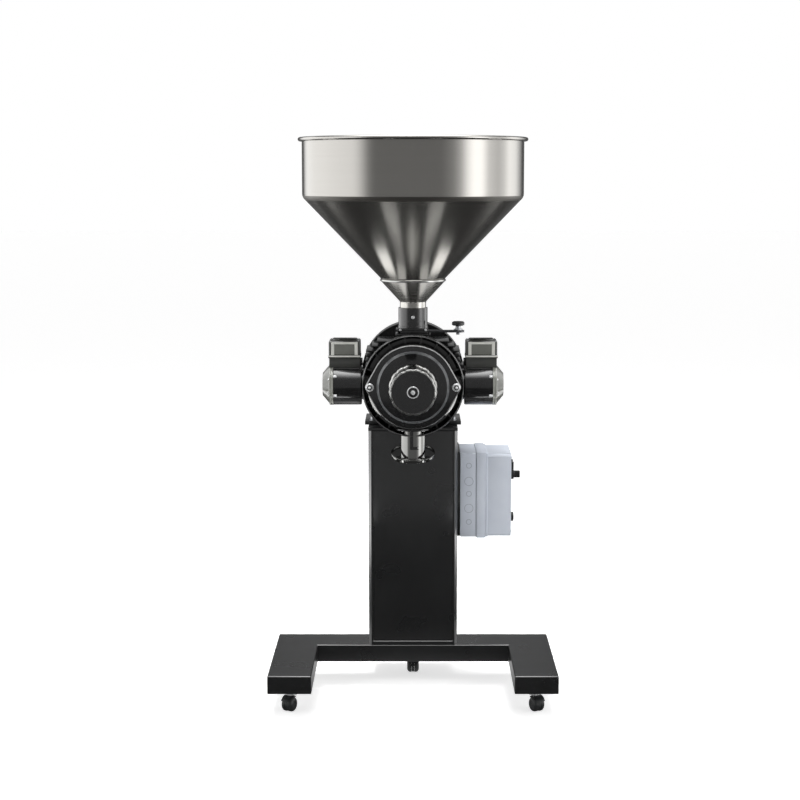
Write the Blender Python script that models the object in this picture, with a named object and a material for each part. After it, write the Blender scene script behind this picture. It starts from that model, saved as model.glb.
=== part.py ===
# Industrial coffee grinder on a wheeled stand.
# Metres, +Z up. The origin is on the floor under the hopper's axis, and the front faces -Y.

from math import acos, atan2, ceil, cos, hypot, pi, radians, sin, sqrt

import bmesh
import bpy
from mathutils import Matrix, Vector

# Clearances
GAP = 0.0003
RUN_GAP = 0.0006

# Facets of a full turn
FINE = 28
MEDIUM = 16
COARSE = 12
SMALL = 8
WHEEL_FACETS = 14

# Base frame of square-edged steel tube
BASE_WIDTH = 0.777
BASE_REACH = 0.308
TUBE_WIDTH = 0.1175
TUBE_HEIGHT = 0.049
TUBE_WALL = 0.004
TUBE_EDGE = 0.002

# Casters with two domed wheels on one axle
CASTER_HEIGHT = 0.065
CASTER_INSET = 0.070
REAR_CASTER_Y = 0.130
WHEEL_RADIUS = 0.020
WHEEL_WIDTH = 0.0135
WHEEL_TRAIL = 0.010
WHEEL_TOE = 25.0
HOOD_WEB = 0.008
HOOD_MARGIN = 0.0025
AXLE_RADIUS = 0.003
STEM_RADIUS = 0.005
STEM_COLLAR = 0.012

# Column of folded sheet
COLUMN_WIDTH = 0.250
COLUMN_DEPTH = 0.224
COLUMN_TOP = 0.736
COLUMN_SHEET = 0.003
COLUMN_CORNER = 0.008
COVER_SHEET = 0.002
COVER_RISE = 0.014
COVER_LAP = 0.014
COVER_MARGIN = 0.0020
TOP_PLATE = 0.008

# Drive motor
SHAFT_HEIGHT = 0.130
MOTOR_START = 0.065
MOTOR_LENGTH = 0.160
FRAME_RADIUS = 0.118
FRAME_WALL = 0.016
FIN_TIP = 0.136
FIN_THICKNESS = 0.003
FIN_PITCH = 0.0135
SIDE_FIN_REACH = 0.134
CROWN_FINS = 7
CROWN_FIN_PITCH = 7.0
FOOT_SPAN = 0.272
FOOT_WIDTH = 0.052
FOOT_THICKNESS = 0.010
FOOT_BOLT_RADIUS = 0.005
SHIELD_THICKNESS = 0.019
COWL_RADIUS = 0.149
COWL_LENGTH = 0.078
COWL_SHEET = 0.002
SHIELD_RIBS = 12
RIB_THICKNESS = 0.005
REAR_SHIELD = 0.012
SPIGOT_DEPTH = 0.008
SPIGOT_WALL = 0.010
SPIGOT_CLEARANCE = 0.004
BEARING_SEAT = 0.004
BEARING_BOSS = 0.008
ROTOR_RADIUS = 0.068
ROTOR_LENGTH = 0.110
STATOR_RADIUS = 0.100
SHAFT_RADIUS = 0.0175
STUB_RADIUS = 0.010
BEARING_RADIUS = 0.036
BEARING_WIDTH = 0.012
FAN_RADIUS = 0.110
FAN_HUB = 0.026
FAN_WIDTH = 0.034
FAN_BLADE = 0.0044
FAN_CLEARANCE = 0.008
FAN_BLADES = 7
COIL_END = 0.008
TERMINAL_WIDTH = 0.050
TERMINAL_LENGTH = 0.090
TERMINAL_HEIGHT = 0.086

# Grinding chamber and its door
CHAMBER_FRONT = -0.100
CHAMBER_RADIUS = 0.128
RIM_RADIUS = 0.1403
RIM_WALL = 0.006
RIM_DEPTH = 0.013
RIM_RECESS = 0.009
CAVITY_RADIUS = 0.098
CAVITY_DEPTH = 0.049
FEED_BORE = 0.037
CORE_GATE = 58.0
CORE_WALL = 0.010
DOOR_FRONT = -0.127
DOOR_RADIUS = 0.1156
DOOR_EDGE = 0.003
EAR_OFFSET = 0.1173
EAR_RADIUS = 0.013
DOOR_STEP_OUTER = 0.0989
DOOR_STEP_INNER = 0.0877
DOOR_STEP_HEIGHT = 0.008
DOOR_CROWN = 0.013
DOOR_WALL = 0.009
DOOR_SKIN = 0.003
DOOR_HUB = 0.022
STUD_RADIUS = 0.004
NUT_ACROSS_FLATS = 0.013
NUT_HEIGHT = 0.007
WASHER_THICKNESS = 0.0016
WASHER_RADIUS = 0.011

# Grind setting
KNOB_RADIUS = 0.0660
KNOB_FACE_RADIUS = 0.0630
KNOB_START = -0.148
KNOB_FRONT = -0.235
KNOB_WALL = 0.007
KNOB_LOBES = 20
LOBE_DEPTH = 0.0026
HUB_RADIUS = 0.016
SPINDLE_RADIUS = 0.008
BOLT_HEAD_RADIUS = 0.0058
BOLT_HEAD_EDGE = 0.0008
BOLT_HEAD_HEIGHT = 0.0060
SPINDLE_WASHER_RADIUS = 0.0125
SPINDLE_WASHER = 0.0015
DISC_RADIUS = 0.070
DISC_EYE = 0.032
DISC_THICKNESS = 0.010
DISC_GAP = 0.0035
DISC_TEETH = 15
TOOTH_HEIGHT = 0.0025
CARRIER_RADIUS = 0.080
CARRIER_THICKNESS = 0.030
CARRIER_WEB = 0.010
CARRIER_HUB = 0.018
CARRIER_BORE_DEPTH = 0.021
SPINDLE_ENTRY = 0.013
FEED_HOLES = 4
FEED_HOLE_RADIUS = 0.0075
FLIGHT_TURNS = 1.5

# Inlet above the chamber
INLET_HALF = 0.0415
INLET_BORE = 0.030
INLET_TOP = 0.997
GATE_HOUSING_HEIGHT = 0.021
GATE_SHEET = 0.006
GATE_TONGUE = 0.022
GATE_REACH = 0.142
GATE_KNOB_X = 0.125
GATE_KNOB_RADIUS = 0.0175
SOCKET_RADIUS = 0.0403
SOCKET_HEIGHT = 0.0557

# Hopper of spun stainless sheet
HOPPER_SHEET = 0.0015
HOPPER_RADIUS = 0.3036
HOPPER_BEAD = 0.0055
BOWL_HEIGHT = 0.148
SHOULDER_HEIGHT = 0.018
SHOULDER_DRAFT = 0.014
CONE_HEIGHT = 0.214
CONE_FOOT_RADIUS = 0.0878
COLLAR_RADIUS = 0.0907
COLLAR_HEIGHT = 0.006
NECK_RADIUS = 0.0360
NECK_SHOWN = 0.0147
FUNNEL_HEIGHT = 0.064
NECK_INSERT = 0.042

# Outlet spout
SPOUT_Y = -0.068
SPOUT_RADIUS = 0.0345
SPOUT_SHEET = 0.0016
SPOUT_SEAT = 0.7493
SPOUT_FLANGE_RADIUS = 0.055
SPOUT_FLANGE = 0.005
SLEEVE_BOTTOM = 0.653
NOZZLE_BOTTOM = 0.686
SLOT_WIDTH = 0.0085
PIN_RADIUS = 0.0032
PIN_HEIGHT = 0.695
PIN_ANGLE = 21.5
SLOT_TURN = 27.5
BAG_FLANGE_RADIUS = 0.048
BAG_FLANGE = 0.0025
BAG_FLANGE_Z = 0.6650
BAG_RING_RADIUS = 0.0595
BAG_RING_BAND = 0.010
BAG_RING_SHEET = 0.0022
BAG_RING_Z = 0.675
BAG_RING_TILT = 15.0
BAG_RING_MOUTH = 64.0
HINGE_PIN_RADIUS = 0.0025
HINGE_WIDTH = 0.012

# Side motors on both sides of the chamber
SIDE_Y = -0.048
SIDE_START = RIM_RADIUS + RUN_GAP
SIDE_RADIUS = 0.0565
SIDE_WALL = 0.006
SIDE_PAD_STEP = 0.015
SIDE_SEAM = 0.2176
SIDE_CAP_RIM = 0.230
SIDE_END = 0.248
SIDE_CAP_FLAT = 0.031
SIDE_ROTOR_RADIUS = 0.034
SIDE_SHAFT_RADIUS = 0.007
SIDE_BOX_START = 0.143
SIDE_BOX_END = 0.231
SIDE_BOX_DEPTH = 0.080
SIDE_BOX_FOOT = 0.049
SIDE_BOX_SEAM = 0.075
SIDE_BOX_TOP = 0.126

# Control enclosure on the column's right side
ENCLOSURE_FRONT = 0.045
ENCLOSURE_WIDTH = 0.180
ENCLOSURE_BOTTOM = 0.414
ENCLOSURE_HEIGHT = 0.245
ENCLOSURE_WALL = 0.003
BRACKET_SHEET = 0.008
BASE_DEPTH = 0.0465
BAND_DEPTH = 0.0255
LID_DEPTH = 0.0725
BAND_PROUD = 0.0025
LID_INSET = 0.004
LID_EDGE = 0.006
SWITCH_Y = 0.135
SWITCH_PLATE_BOTTOM = 0.572
SWITCH_PLATE_SIZE = 0.050
SWITCH_PLATE_SHEET = 0.004
SWITCH_KNOB_Z = 0.5826
SWITCH_KNOB_RADIUS = 0.0102
SWITCH_KNOB_LENGTH = 0.025
BUTTON_Z = 0.458
BUTTON_COLLAR_RADIUS = 0.0133
BUTTON_COLLAR = 0.0075
BUTTON_RADIUS = 0.0095
BUTTON_PROUD = 0.0045
SPINDLE_HOLE = 0.005
BUTTON_HOLE = 0.007

X_AXIS = Vector((1.0, 0.0, 0.0))
Y_AXIS = Vector((0.0, 1.0, 0.0))
Z_AXIS = Vector((0.0, 0.0, 1.0))

# Places that follow from the sizes above
base_top = CASTER_HEIGHT + TUBE_HEIGHT
leg_x = (BASE_WIDTH - TUBE_WIDTH) / 2
axis_z = COLUMN_TOP + SHAFT_HEIGHT
motor_end = MOTOR_START + MOTOR_LENGTH
shield_front = MOTOR_START - SHIELD_THICKNESS
chamber_rear = shield_front - GAP
flange_radius = SHAFT_HEIGHT - 0.0015
seat_y = CHAMBER_FRONT + RIM_RECESS
cavity_rear = seat_y + CAVITY_DEPTH
gate_top = INLET_TOP + GAP + GATE_HOUSING_HEIGHT
socket_top = gate_top + GAP + SOCKET_HEIGHT
neck_top = socket_top + NECK_SHOWN
cone_foot = neck_top + FUNNEL_HEIGHT
shoulder_bottom = cone_foot + CONE_HEIGHT
shoulder_top = shoulder_bottom + SHOULDER_HEIGHT
hopper_top = shoulder_top + BOWL_HEIGHT


def paint(name, colour, roughness, metallic):
    material = bpy.data.materials.get(name) or bpy.data.materials.new(name)
    material.use_nodes = True
    shader = material.node_tree.nodes["Principled BSDF"]
    shader.inputs["Base Color"].default_value = (*colour, 1.0)
    shader.inputs["Roughness"].default_value = roughness
    shader.inputs["Metallic"].default_value = metallic
    material.diffuse_color = (*colour, 1.0)
    return material


def black_powder_coat():
    return paint("black_powder_coat", (0.022, 0.023, 0.025), 0.42, 0.0)


def black_enamel():
    return paint("black_enamel", (0.014, 0.015, 0.016), 0.24, 0.0)


def brushed_stainless():
    return paint("brushed_stainless", (0.48, 0.47, 0.45), 0.28, 1.0)


def polished_stainless():
    return paint("polished_stainless", (0.62, 0.62, 0.62), 0.14, 1.0)


def machined_steel():
    return paint("machined_steel", (0.46, 0.46, 0.47), 0.30, 1.0)


def cast_aluminium():
    return paint("cast_aluminium", (0.10, 0.10, 0.105), 0.45, 0.6)


def grey_plastic():
    return paint("grey_plastic", (0.47, 0.50, 0.55), 0.45, 0.0)


def black_plastic():
    return paint("black_plastic", (0.018, 0.018, 0.020), 0.38, 0.0)


def wheel_rubber():
    return paint("wheel_rubber", (0.030, 0.032, 0.034), 0.60, 0.0)


def zinc_plate():
    return paint("zinc_plate", (0.55, 0.56, 0.58), 0.32, 1.0)


def copper_winding():
    return paint("copper_winding", (0.50, 0.20, 0.09), 0.40, 1.0)


def arc(radius, start, end, count, centre=(0.0, 0.0)):
    # Points along an arc, both ends included; angles in radians
    return [(centre[0] + radius * cos(start + (end - start) * i / count),
             centre[1] + radius * sin(start + (end - start) * i / count))
            for i in range(count + 1)]


def place(bm, axis, centre):
    # Turns a shape made along +Z to lie along the axis, and moves it to its centre
    turn = Z_AXIS.rotation_difference(Vector(axis)).to_matrix()
    bmesh.ops.rotate(bm, verts=bm.verts, cent=(0, 0, 0), matrix=turn)
    bmesh.ops.translate(bm, verts=bm.verts, vec=centre)
    bmesh.ops.recalc_face_normals(bm, faces=bm.faces)
    return bm


def turned(profile, steps=MEDIUM, axis=Z_AXIS, centre=(0, 0, 0)):
    # Spins a profile of (radius, height) points once round the axis
    # A profile that starts and ends on the axis is closed there, any other is a ring
    bm = bmesh.new()
    verts = [bm.verts.new((r, 0.0, h)) for r, h in profile]
    for a, b in zip(verts, verts[1:]):
        bm.edges.new((a, b))
    if profile[0][0] > 0 or profile[-1][0] > 0:
        bm.edges.new((verts[-1], verts[0]))
    bmesh.ops.spin(bm, geom=bm.verts[:] + bm.edges[:], cent=(0, 0, 0), axis=Z_AXIS,
                   angle=2 * pi, steps=steps, use_merge=True)
    bmesh.ops.remove_doubles(bm, verts=bm.verts, dist=1e-6)
    return place(bm, axis, centre)


def rod(radius, start, end, axis=Z_AXIS, centre=(0, 0, 0), steps=COARSE):
    return turned([(0, start), (radius, start), (radius, end), (0, end)], steps, axis, centre)


def ring(inner, outer, start, end, axis=Z_AXIS, centre=(0, 0, 0), steps=MEDIUM):
    profile = [(inner, start), (outer, start), (outer, end), (inner, end)]
    return turned(profile, steps, axis, centre)


def extruded(outline, start, end, axis="Z"):
    # Extrudes an outline: (x, y) along Z, (x, z) along Y or (y, z) along X
    maps = {"Z": lambda a, b, h: (a, b, h),
            "Y": lambda a, b, h: (a, h, b),
            "X": lambda a, b, h: (h, a, b)}
    point = maps[axis]
    bm = bmesh.new()
    face = bm.faces.new([bm.verts.new(point(a, b, start)) for a, b in outline])
    moved = bmesh.ops.extrude_face_region(bm, geom=[face])
    shift = Vector(point(0, 0, end)) - Vector(point(0, 0, start))
    verts = [item for item in moved["geom"] if isinstance(item, bmesh.types.BMVert)]
    bmesh.ops.translate(bm, verts=verts, vec=shift)
    bmesh.ops.recalc_face_normals(bm, faces=bm.faces)
    return bm


def block(low, high, edge=0.0):
    # A box between two corners, with bevelled edges where edge is above zero
    bm = bmesh.new()
    bmesh.ops.create_cube(bm, size=1.0)
    low = Vector(low)
    high = Vector(high)
    bmesh.ops.scale(bm, verts=bm.verts, vec=high - low)
    bmesh.ops.translate(bm, verts=bm.verts, vec=(low + high) / 2)
    if edge > 0:
        bmesh.ops.bevel(bm, geom=bm.edges[:], offset=edge, segments=1, affect="EDGES",
                        profile=0.5, material=-1)
    bmesh.ops.recalc_face_normals(bm, faces=bm.faces)
    return bm


def twisted(outline, start, end, turns, steps):
    # Sweeps an (x, z) outline along Y while it turns about the Y axis
    bm = bmesh.new()
    rings = []
    for i in range(steps + 1):
        angle = 2 * pi * turns * i / steps
        y = start + (end - start) * i / steps
        row = [bm.verts.new((x * cos(angle) + z * sin(angle), y, z * cos(angle) - x * sin(angle)))
               for x, z in outline]
        rings.append(row)
    for near, far in zip(rings, rings[1:]):
        for j in range(len(outline)):
            k = (j + 1) % len(outline)
            bm.faces.new((near[j], near[k], far[k], far[j]))
    bm.faces.new(rings[0])
    bm.faces.new(rings[-1])
    bmesh.ops.recalc_face_normals(bm, faces=bm.faces)
    return bm


def sheet_outline(path, thickness):
    # Closed outline of a bent sheet: the path is its middle line
    left = []
    right = []
    for i, point in enumerate(path):
        here = Vector(point)
        before = Vector(path[max(i - 1, 0)])
        after = Vector(path[min(i + 1, len(path) - 1)])
        along_in = (here - before).normalized() if i > 0 else (after - here).normalized()
        along_out = (after - here).normalized() if i < len(path) - 1 else along_in
        normal = Vector((-(along_in.y + along_out.y), along_in.x + along_out.x)).normalized()
        stretch = 1.0 / max(normal.dot(Vector((-along_in.y, along_in.x))), 0.3)
        offset = normal * thickness / 2 * stretch
        left.append(tuple(here + offset))
        right.append(tuple(here - offset))
    return left + right[::-1]


def joined(*shapes):
    # Puts shapes side by side in one mesh, as separate bodies
    whole = bmesh.new()
    for shape in shapes:
        mesh = bpy.data.meshes.new("part")
        shape.to_mesh(mesh)
        shape.free()
        whole.from_mesh(mesh)
        bpy.data.meshes.remove(mesh)
    return whole


def node(name, shape, material, origin=(0, 0, 0), parent=None, sharp=35.0):
    # Makes a named object whose origin is at the given point
    origin = Vector(origin)
    bmesh.ops.translate(shape, verts=shape.verts, vec=-origin)
    mesh = bpy.data.meshes.new(name)
    shape.to_mesh(mesh)
    shape.free()
    mesh.shade_smooth()
    mesh.set_sharp_from_angle(angle=radians(sharp))
    mesh.materials.append(material)
    made = bpy.data.objects.new(name, mesh)
    bpy.context.collection.objects.link(made)
    if parent:
        made.parent = parent
        origin = parent.matrix_world.inverted() @ origin
    made.location = origin
    bpy.context.view_layer.update()
    return made


def tool(name, shape):
    # A cutter: it shapes other pieces and isn't one itself
    mesh = bpy.data.meshes.new(name)
    shape.to_mesh(mesh)
    shape.free()
    made = bpy.data.objects.new(name, mesh)
    bpy.context.collection.objects.link(made)
    made.hide_render = True
    made.display_type = "WIRE"
    return made


def combine(target, operation, name, shapes, solver):
    # Boolean modifiers with one tool for each shape
    for i, shape in enumerate(shapes):
        modifier = target.modifiers.new(f"{name}_{i}", "BOOLEAN")
        modifier.operation = operation
        modifier.solver = solver
        modifier.object = tool(f"{target.name}_{name}_{i}", shape)


def cut(target, *shapes, solver="EXACT"):
    combine(target, "DIFFERENCE", "cut", shapes, solver)


def unite(target, *shapes, solver="EXACT"):
    combine(target, "UNION", "add", shapes, solver)


def base_frame():
    inside = TUBE_WALL
    low = CASTER_HEIGHT
    half = BASE_WIDTH / 2
    tail_half = COLUMN_WIDTH / 2
    # The crossbar and the tail under the column are welded into one T
    crossbar = node("base_crossbar", tee(half, tail_half, 0.0), black_powder_coat())
    cut(crossbar, tee(half, tail_half, inside), stem_hole(0.0, REAR_CASTER_Y))

    # Each leg is closed in front and open where it meets the crossbar
    for side, name in ((-1, "base_leg_left"), (1, "base_leg_right")):
        x = side * leg_x
        bar = block((x - TUBE_WIDTH / 2, -BASE_REACH, low), (x + TUBE_WIDTH / 2, -GAP, base_top))
        rounded = [edge for edge in bar.edges if any(vert.co.y < -TUBE_WIDTH for vert in edge.verts)]
        bmesh.ops.bevel(bar, geom=rounded, offset=TUBE_EDGE, segments=1, affect="EDGES",
                        profile=0.5, material=-1)
        leg = node(name, bar, black_powder_coat())
        cut(leg,
            block((x - TUBE_WIDTH / 2 + inside, -BASE_REACH + inside, low + inside),
                  (x + TUBE_WIDTH / 2 - inside, inside, base_top - inside)),
            stem_hole(x, CASTER_INSET - BASE_REACH))


def tee(half, tail_half, inset):
    # The T of crossbar and tail, or its hollow when it is inset by the wall
    outline = [(-half + inset, inset), (half - inset, inset), (half - inset, TUBE_WIDTH - inset),
               (tail_half - inset, TUBE_WIDTH - inset), (tail_half - inset, COLUMN_DEPTH - inset),
               (-tail_half + inset, COLUMN_DEPTH - inset), (-tail_half + inset, TUBE_WIDTH - inset),
               (-half + inset, TUBE_WIDTH - inset)]
    bar = extruded(outline, CASTER_HEIGHT + inset, base_top - inset)
    if inset == 0:
        bmesh.ops.bevel(bar, geom=bar.edges[:], offset=TUBE_EDGE, segments=1, affect="EDGES",
                        profile=0.5, material=-1)
    return bar


def stem_hole(x, y):
    return rod(STEM_RADIUS + GAP, CASTER_HEIGHT - TUBE_WALL, CASTER_HEIGHT + 2 * TUBE_WALL,
               centre=(x, y, 0), steps=SMALL)


def caster(name, x, y, toe):
    # A stem caster whose wheel trails towards -Y, turned by the toe angle
    collar_top = CASTER_HEIGHT - GAP
    collar_bottom = collar_top - 0.004
    pintle = 0.0035
    pintle_bottom = 2 * WHEEL_RADIUS + HOOD_MARGIN + 0.004
    stem = turned([(0, pintle_bottom), (pintle, pintle_bottom), (pintle, collar_bottom),
                   (STEM_COLLAR, collar_bottom), (STEM_COLLAR, collar_top),
                   (STEM_RADIUS, collar_top), (STEM_RADIUS, collar_top + 0.012),
                   (0, collar_top + 0.012)], SMALL, centre=(x, y, 0))
    node("caster_stem_" + name, stem, zinc_plate(), origin=(x, y, collar_bottom))

    # The hood is a web between the wheels, with a wider cap over them
    trail = Matrix.Rotation(radians(toe), 4, "Z")
    axle = Vector((0, -WHEEL_TRAIL, WHEEL_RADIUS))
    web_radius = WHEEL_RADIUS + HOOD_MARGIN
    crown = collar_bottom - GAP
    outline = [(-WHEEL_TRAIL - web_radius * 0.30, WHEEL_RADIUS - 0.008)]
    outline += arc(web_radius, pi * 1.02, pi / 2 + 0.25, 5, (-WHEEL_TRAIL, WHEEL_RADIUS))
    outline += [(-0.008, crown), (0.008, crown), (0.011, WHEEL_RADIUS + 0.008),
                (0.002, WHEEL_RADIUS - 0.008)]
    web = extruded(outline, -HOOD_WEB / 2, HOOD_WEB / 2, "X")
    cap_half = WHEEL_WIDTH + HOOD_WEB / 2
    cap_outline = arc(web_radius + 0.003, pi * 0.90, pi * 0.14, 6, (-WHEEL_TRAIL, WHEEL_RADIUS))
    cap_outline += arc(web_radius, pi * 0.14, pi * 0.90, 6, (-WHEEL_TRAIL, WHEEL_RADIUS))
    cap = extruded(cap_outline, -cap_half, cap_half, "X")
    for shape in (web, cap):
        bmesh.ops.transform(shape, verts=shape.verts, matrix=trail)
        bmesh.ops.translate(shape, verts=shape.verts, vec=(x, y, 0))
    hood = node("caster_hood_" + name, web, zinc_plate(), origin=(x, y, 0))
    boss = rod(0.0085, web_radius + WHEEL_RADIUS - 0.001, crown, centre=(x, y, 0), steps=SMALL)
    bore = rod(pintle + RUN_GAP, pintle_bottom - 0.002, crown + 0.002, centre=(x, y, 0), steps=SMALL)
    roll = trail.to_3x3() @ X_AXIS
    place_axle = Vector((x, y, 0)) + trail @ axle
    eye = rod(AXLE_RADIUS + RUN_GAP, -HOOD_WEB, HOOD_WEB, roll, place_axle)
    unite(hood, cap, boss)
    cut(hood, bore, eye)

    # Both wheels and their axle are one spool
    inner = HOOD_WEB / 2 + RUN_GAP
    outer = inner + WHEEL_WIDTH
    tread = [(0, -outer)] + dome(-outer, -inner)
    spool = tread + [(AXLE_RADIUS, -inner), (AXLE_RADIUS, inner)]
    spool += [(r, -h) for r, h in reversed(tread)]
    node("caster_wheel_" + name, turned(spool, WHEEL_FACETS, roll, place_axle), wheel_rubber(),
         origin=place_axle, parent=hood)


def dome(outer, inner):
    # A wheel's rounded side, from near its hub cap to its tread
    flat = 0.006
    points = []
    for i in range(4):
        angle = pi / 2 * i / 3
        points.append((flat + (WHEEL_RADIUS - flat) * sin(angle),
                       inner + (outer - inner) * cos(angle) * 0.94 - (inner - outer) * 0.06))
    points[-1] = (WHEEL_RADIUS, inner + (outer - inner) * 0.30)
    return points + [(WHEEL_RADIUS, inner)]


def column():
    half = COLUMN_WIDTH / 2
    middle = COLUMN_SHEET / 2
    bottom = base_top + GAP
    top = COLUMN_TOP - TOP_PLATE / 2
    corner = COLUMN_CORNER - middle
    cover_half = half - COLUMN_CORNER - COLUMN_SHEET - COVER_MARGIN
    edge_x = cover_half + GAP + middle
    step = COVER_SHEET + GAP + middle

    # Half of the folded section, from the flange behind the cover to the back's middle
    right = [(edge_x - COVER_LAP, step), (edge_x, step), (edge_x, middle)]
    right += arc(corner, -pi / 2, 0, 4, (half - COLUMN_CORNER, COLUMN_CORNER))
    right += arc(corner, 0, pi / 2, 4, (half - COLUMN_CORNER, COLUMN_DEPTH - COLUMN_CORNER))
    path = right + [(-x, y) for x, y in reversed(right)]
    shell = extruded(sheet_outline(path, COLUMN_SHEET), bottom, top)
    sill = block((-edge_x, GAP, bottom + GAP), (edge_x, step, bottom + COVER_RISE - GAP))
    plate_half = half + GAP
    lid = block((-plate_half, -GAP, COLUMN_TOP - TOP_PLATE),
                (plate_half, COLUMN_DEPTH + GAP, COLUMN_TOP), 0.001)
    body = node("column_shell", shell, black_powder_coat())
    unite(body, sill, lid)
    cut(body, *foot_bolt_holes())
    node("column_cover",
         block((-cover_half, 0, bottom + COVER_RISE),
               (cover_half, COVER_SHEET, COLUMN_TOP - TOP_PLATE - GAP), 0.0004),
         black_powder_coat())


def foot_bolt_places():
    inset = 0.024
    x = FOOT_SPAN / 2 - inset
    return [(sx * x, y) for sx in (-1, 1) for y in (MOTOR_START + inset, motor_end - inset)]


def foot_bolt_holes():
    return [rod(FOOT_BOLT_RADIUS + 2 * GAP, COLUMN_TOP - 2 * TOP_PLATE,
                COLUMN_TOP + 2 * FOOT_THICKNESS, centre=(x, y, 0), steps=SMALL)
            for x, y in foot_bolt_places()]


def motor_section():
    # Half of the frame's section, from the crown to the underside, in (x, z) about the axis
    points = []
    crown_limit = (CROWN_FINS - 1) / 2
    for i in range(int(crown_limit), -1, -1):
        angle = pi / 2 - radians(CROWN_FIN_PITCH) * (crown_limit - i)
        half = FIN_THICKNESS / 2
        across = Vector((sin(angle), -cos(angle)))
        out = Vector((cos(angle), sin(angle)))
        root = sqrt(FRAME_RADIUS ** 2 - half ** 2)
        tip = FIN_TIP
        corners = [out * root - across * half, out * tip - across * half,
                   out * tip + across * half, out * root + across * half]
        if i == int(crown_limit):
            corners = [Vector((0, tip)), out * tip + across * half, out * root + across * half]
        points += [tuple(corner) for corner in corners]
    start = FRAME_RADIUS * 0.90
    rows = int(start * 1.45 / FIN_PITCH)
    for i in range(rows):
        z = start - i * FIN_PITCH
        half = FIN_THICKNESS / 2
        root_up = sqrt(FRAME_RADIUS ** 2 - (z + half) ** 2)
        root_down = sqrt(FRAME_RADIUS ** 2 - (z - half) ** 2)
        tip = min(SIDE_FIN_REACH, SIDE_FIN_REACH * 0.76 + (start - z) * 1.15)
        points += [(root_up, z + half), (tip, z + half), (tip, z - half), (root_down, z - half)]
    # The foot below the last fin, with its sloped web
    foot_out = FOOT_SPAN / 2
    foot_in = foot_out - FOOT_WIDTH
    foot_bottom = GAP - SHAFT_HEIGHT
    foot_top = foot_bottom + FOOT_THICKNESS
    web_out = foot_out - FOOT_WIDTH * 0.42
    points += [(web_out, points[-1][1] - 0.010), (web_out, foot_top), (foot_out, foot_top),
               (foot_out, foot_bottom), (foot_in, foot_bottom), (foot_in, foot_top)]
    low = -FRAME_RADIUS
    points += [(foot_in - 0.010, -sqrt(FRAME_RADIUS ** 2 - (foot_in - 0.010) ** 2))]
    points += [(0, low)]
    return points


def motor_frame():
    half = motor_section()
    outline = half + [(-x, z) for x, z in reversed(half[1:-1])]
    outline = [(x, z + axis_z) for x, z in outline]
    body = node("motor_body", extruded(outline, MOTOR_START, motor_end, "Y"), cast_aluminium(), sharp=25)
    bore = rod(FRAME_RADIUS - FRAME_WALL, MOTOR_START - 0.01, motor_end + 0.01, Y_AXIS,
               (0, 0, axis_z), MEDIUM)
    cut(body, bore, *foot_bolt_holes())


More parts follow.
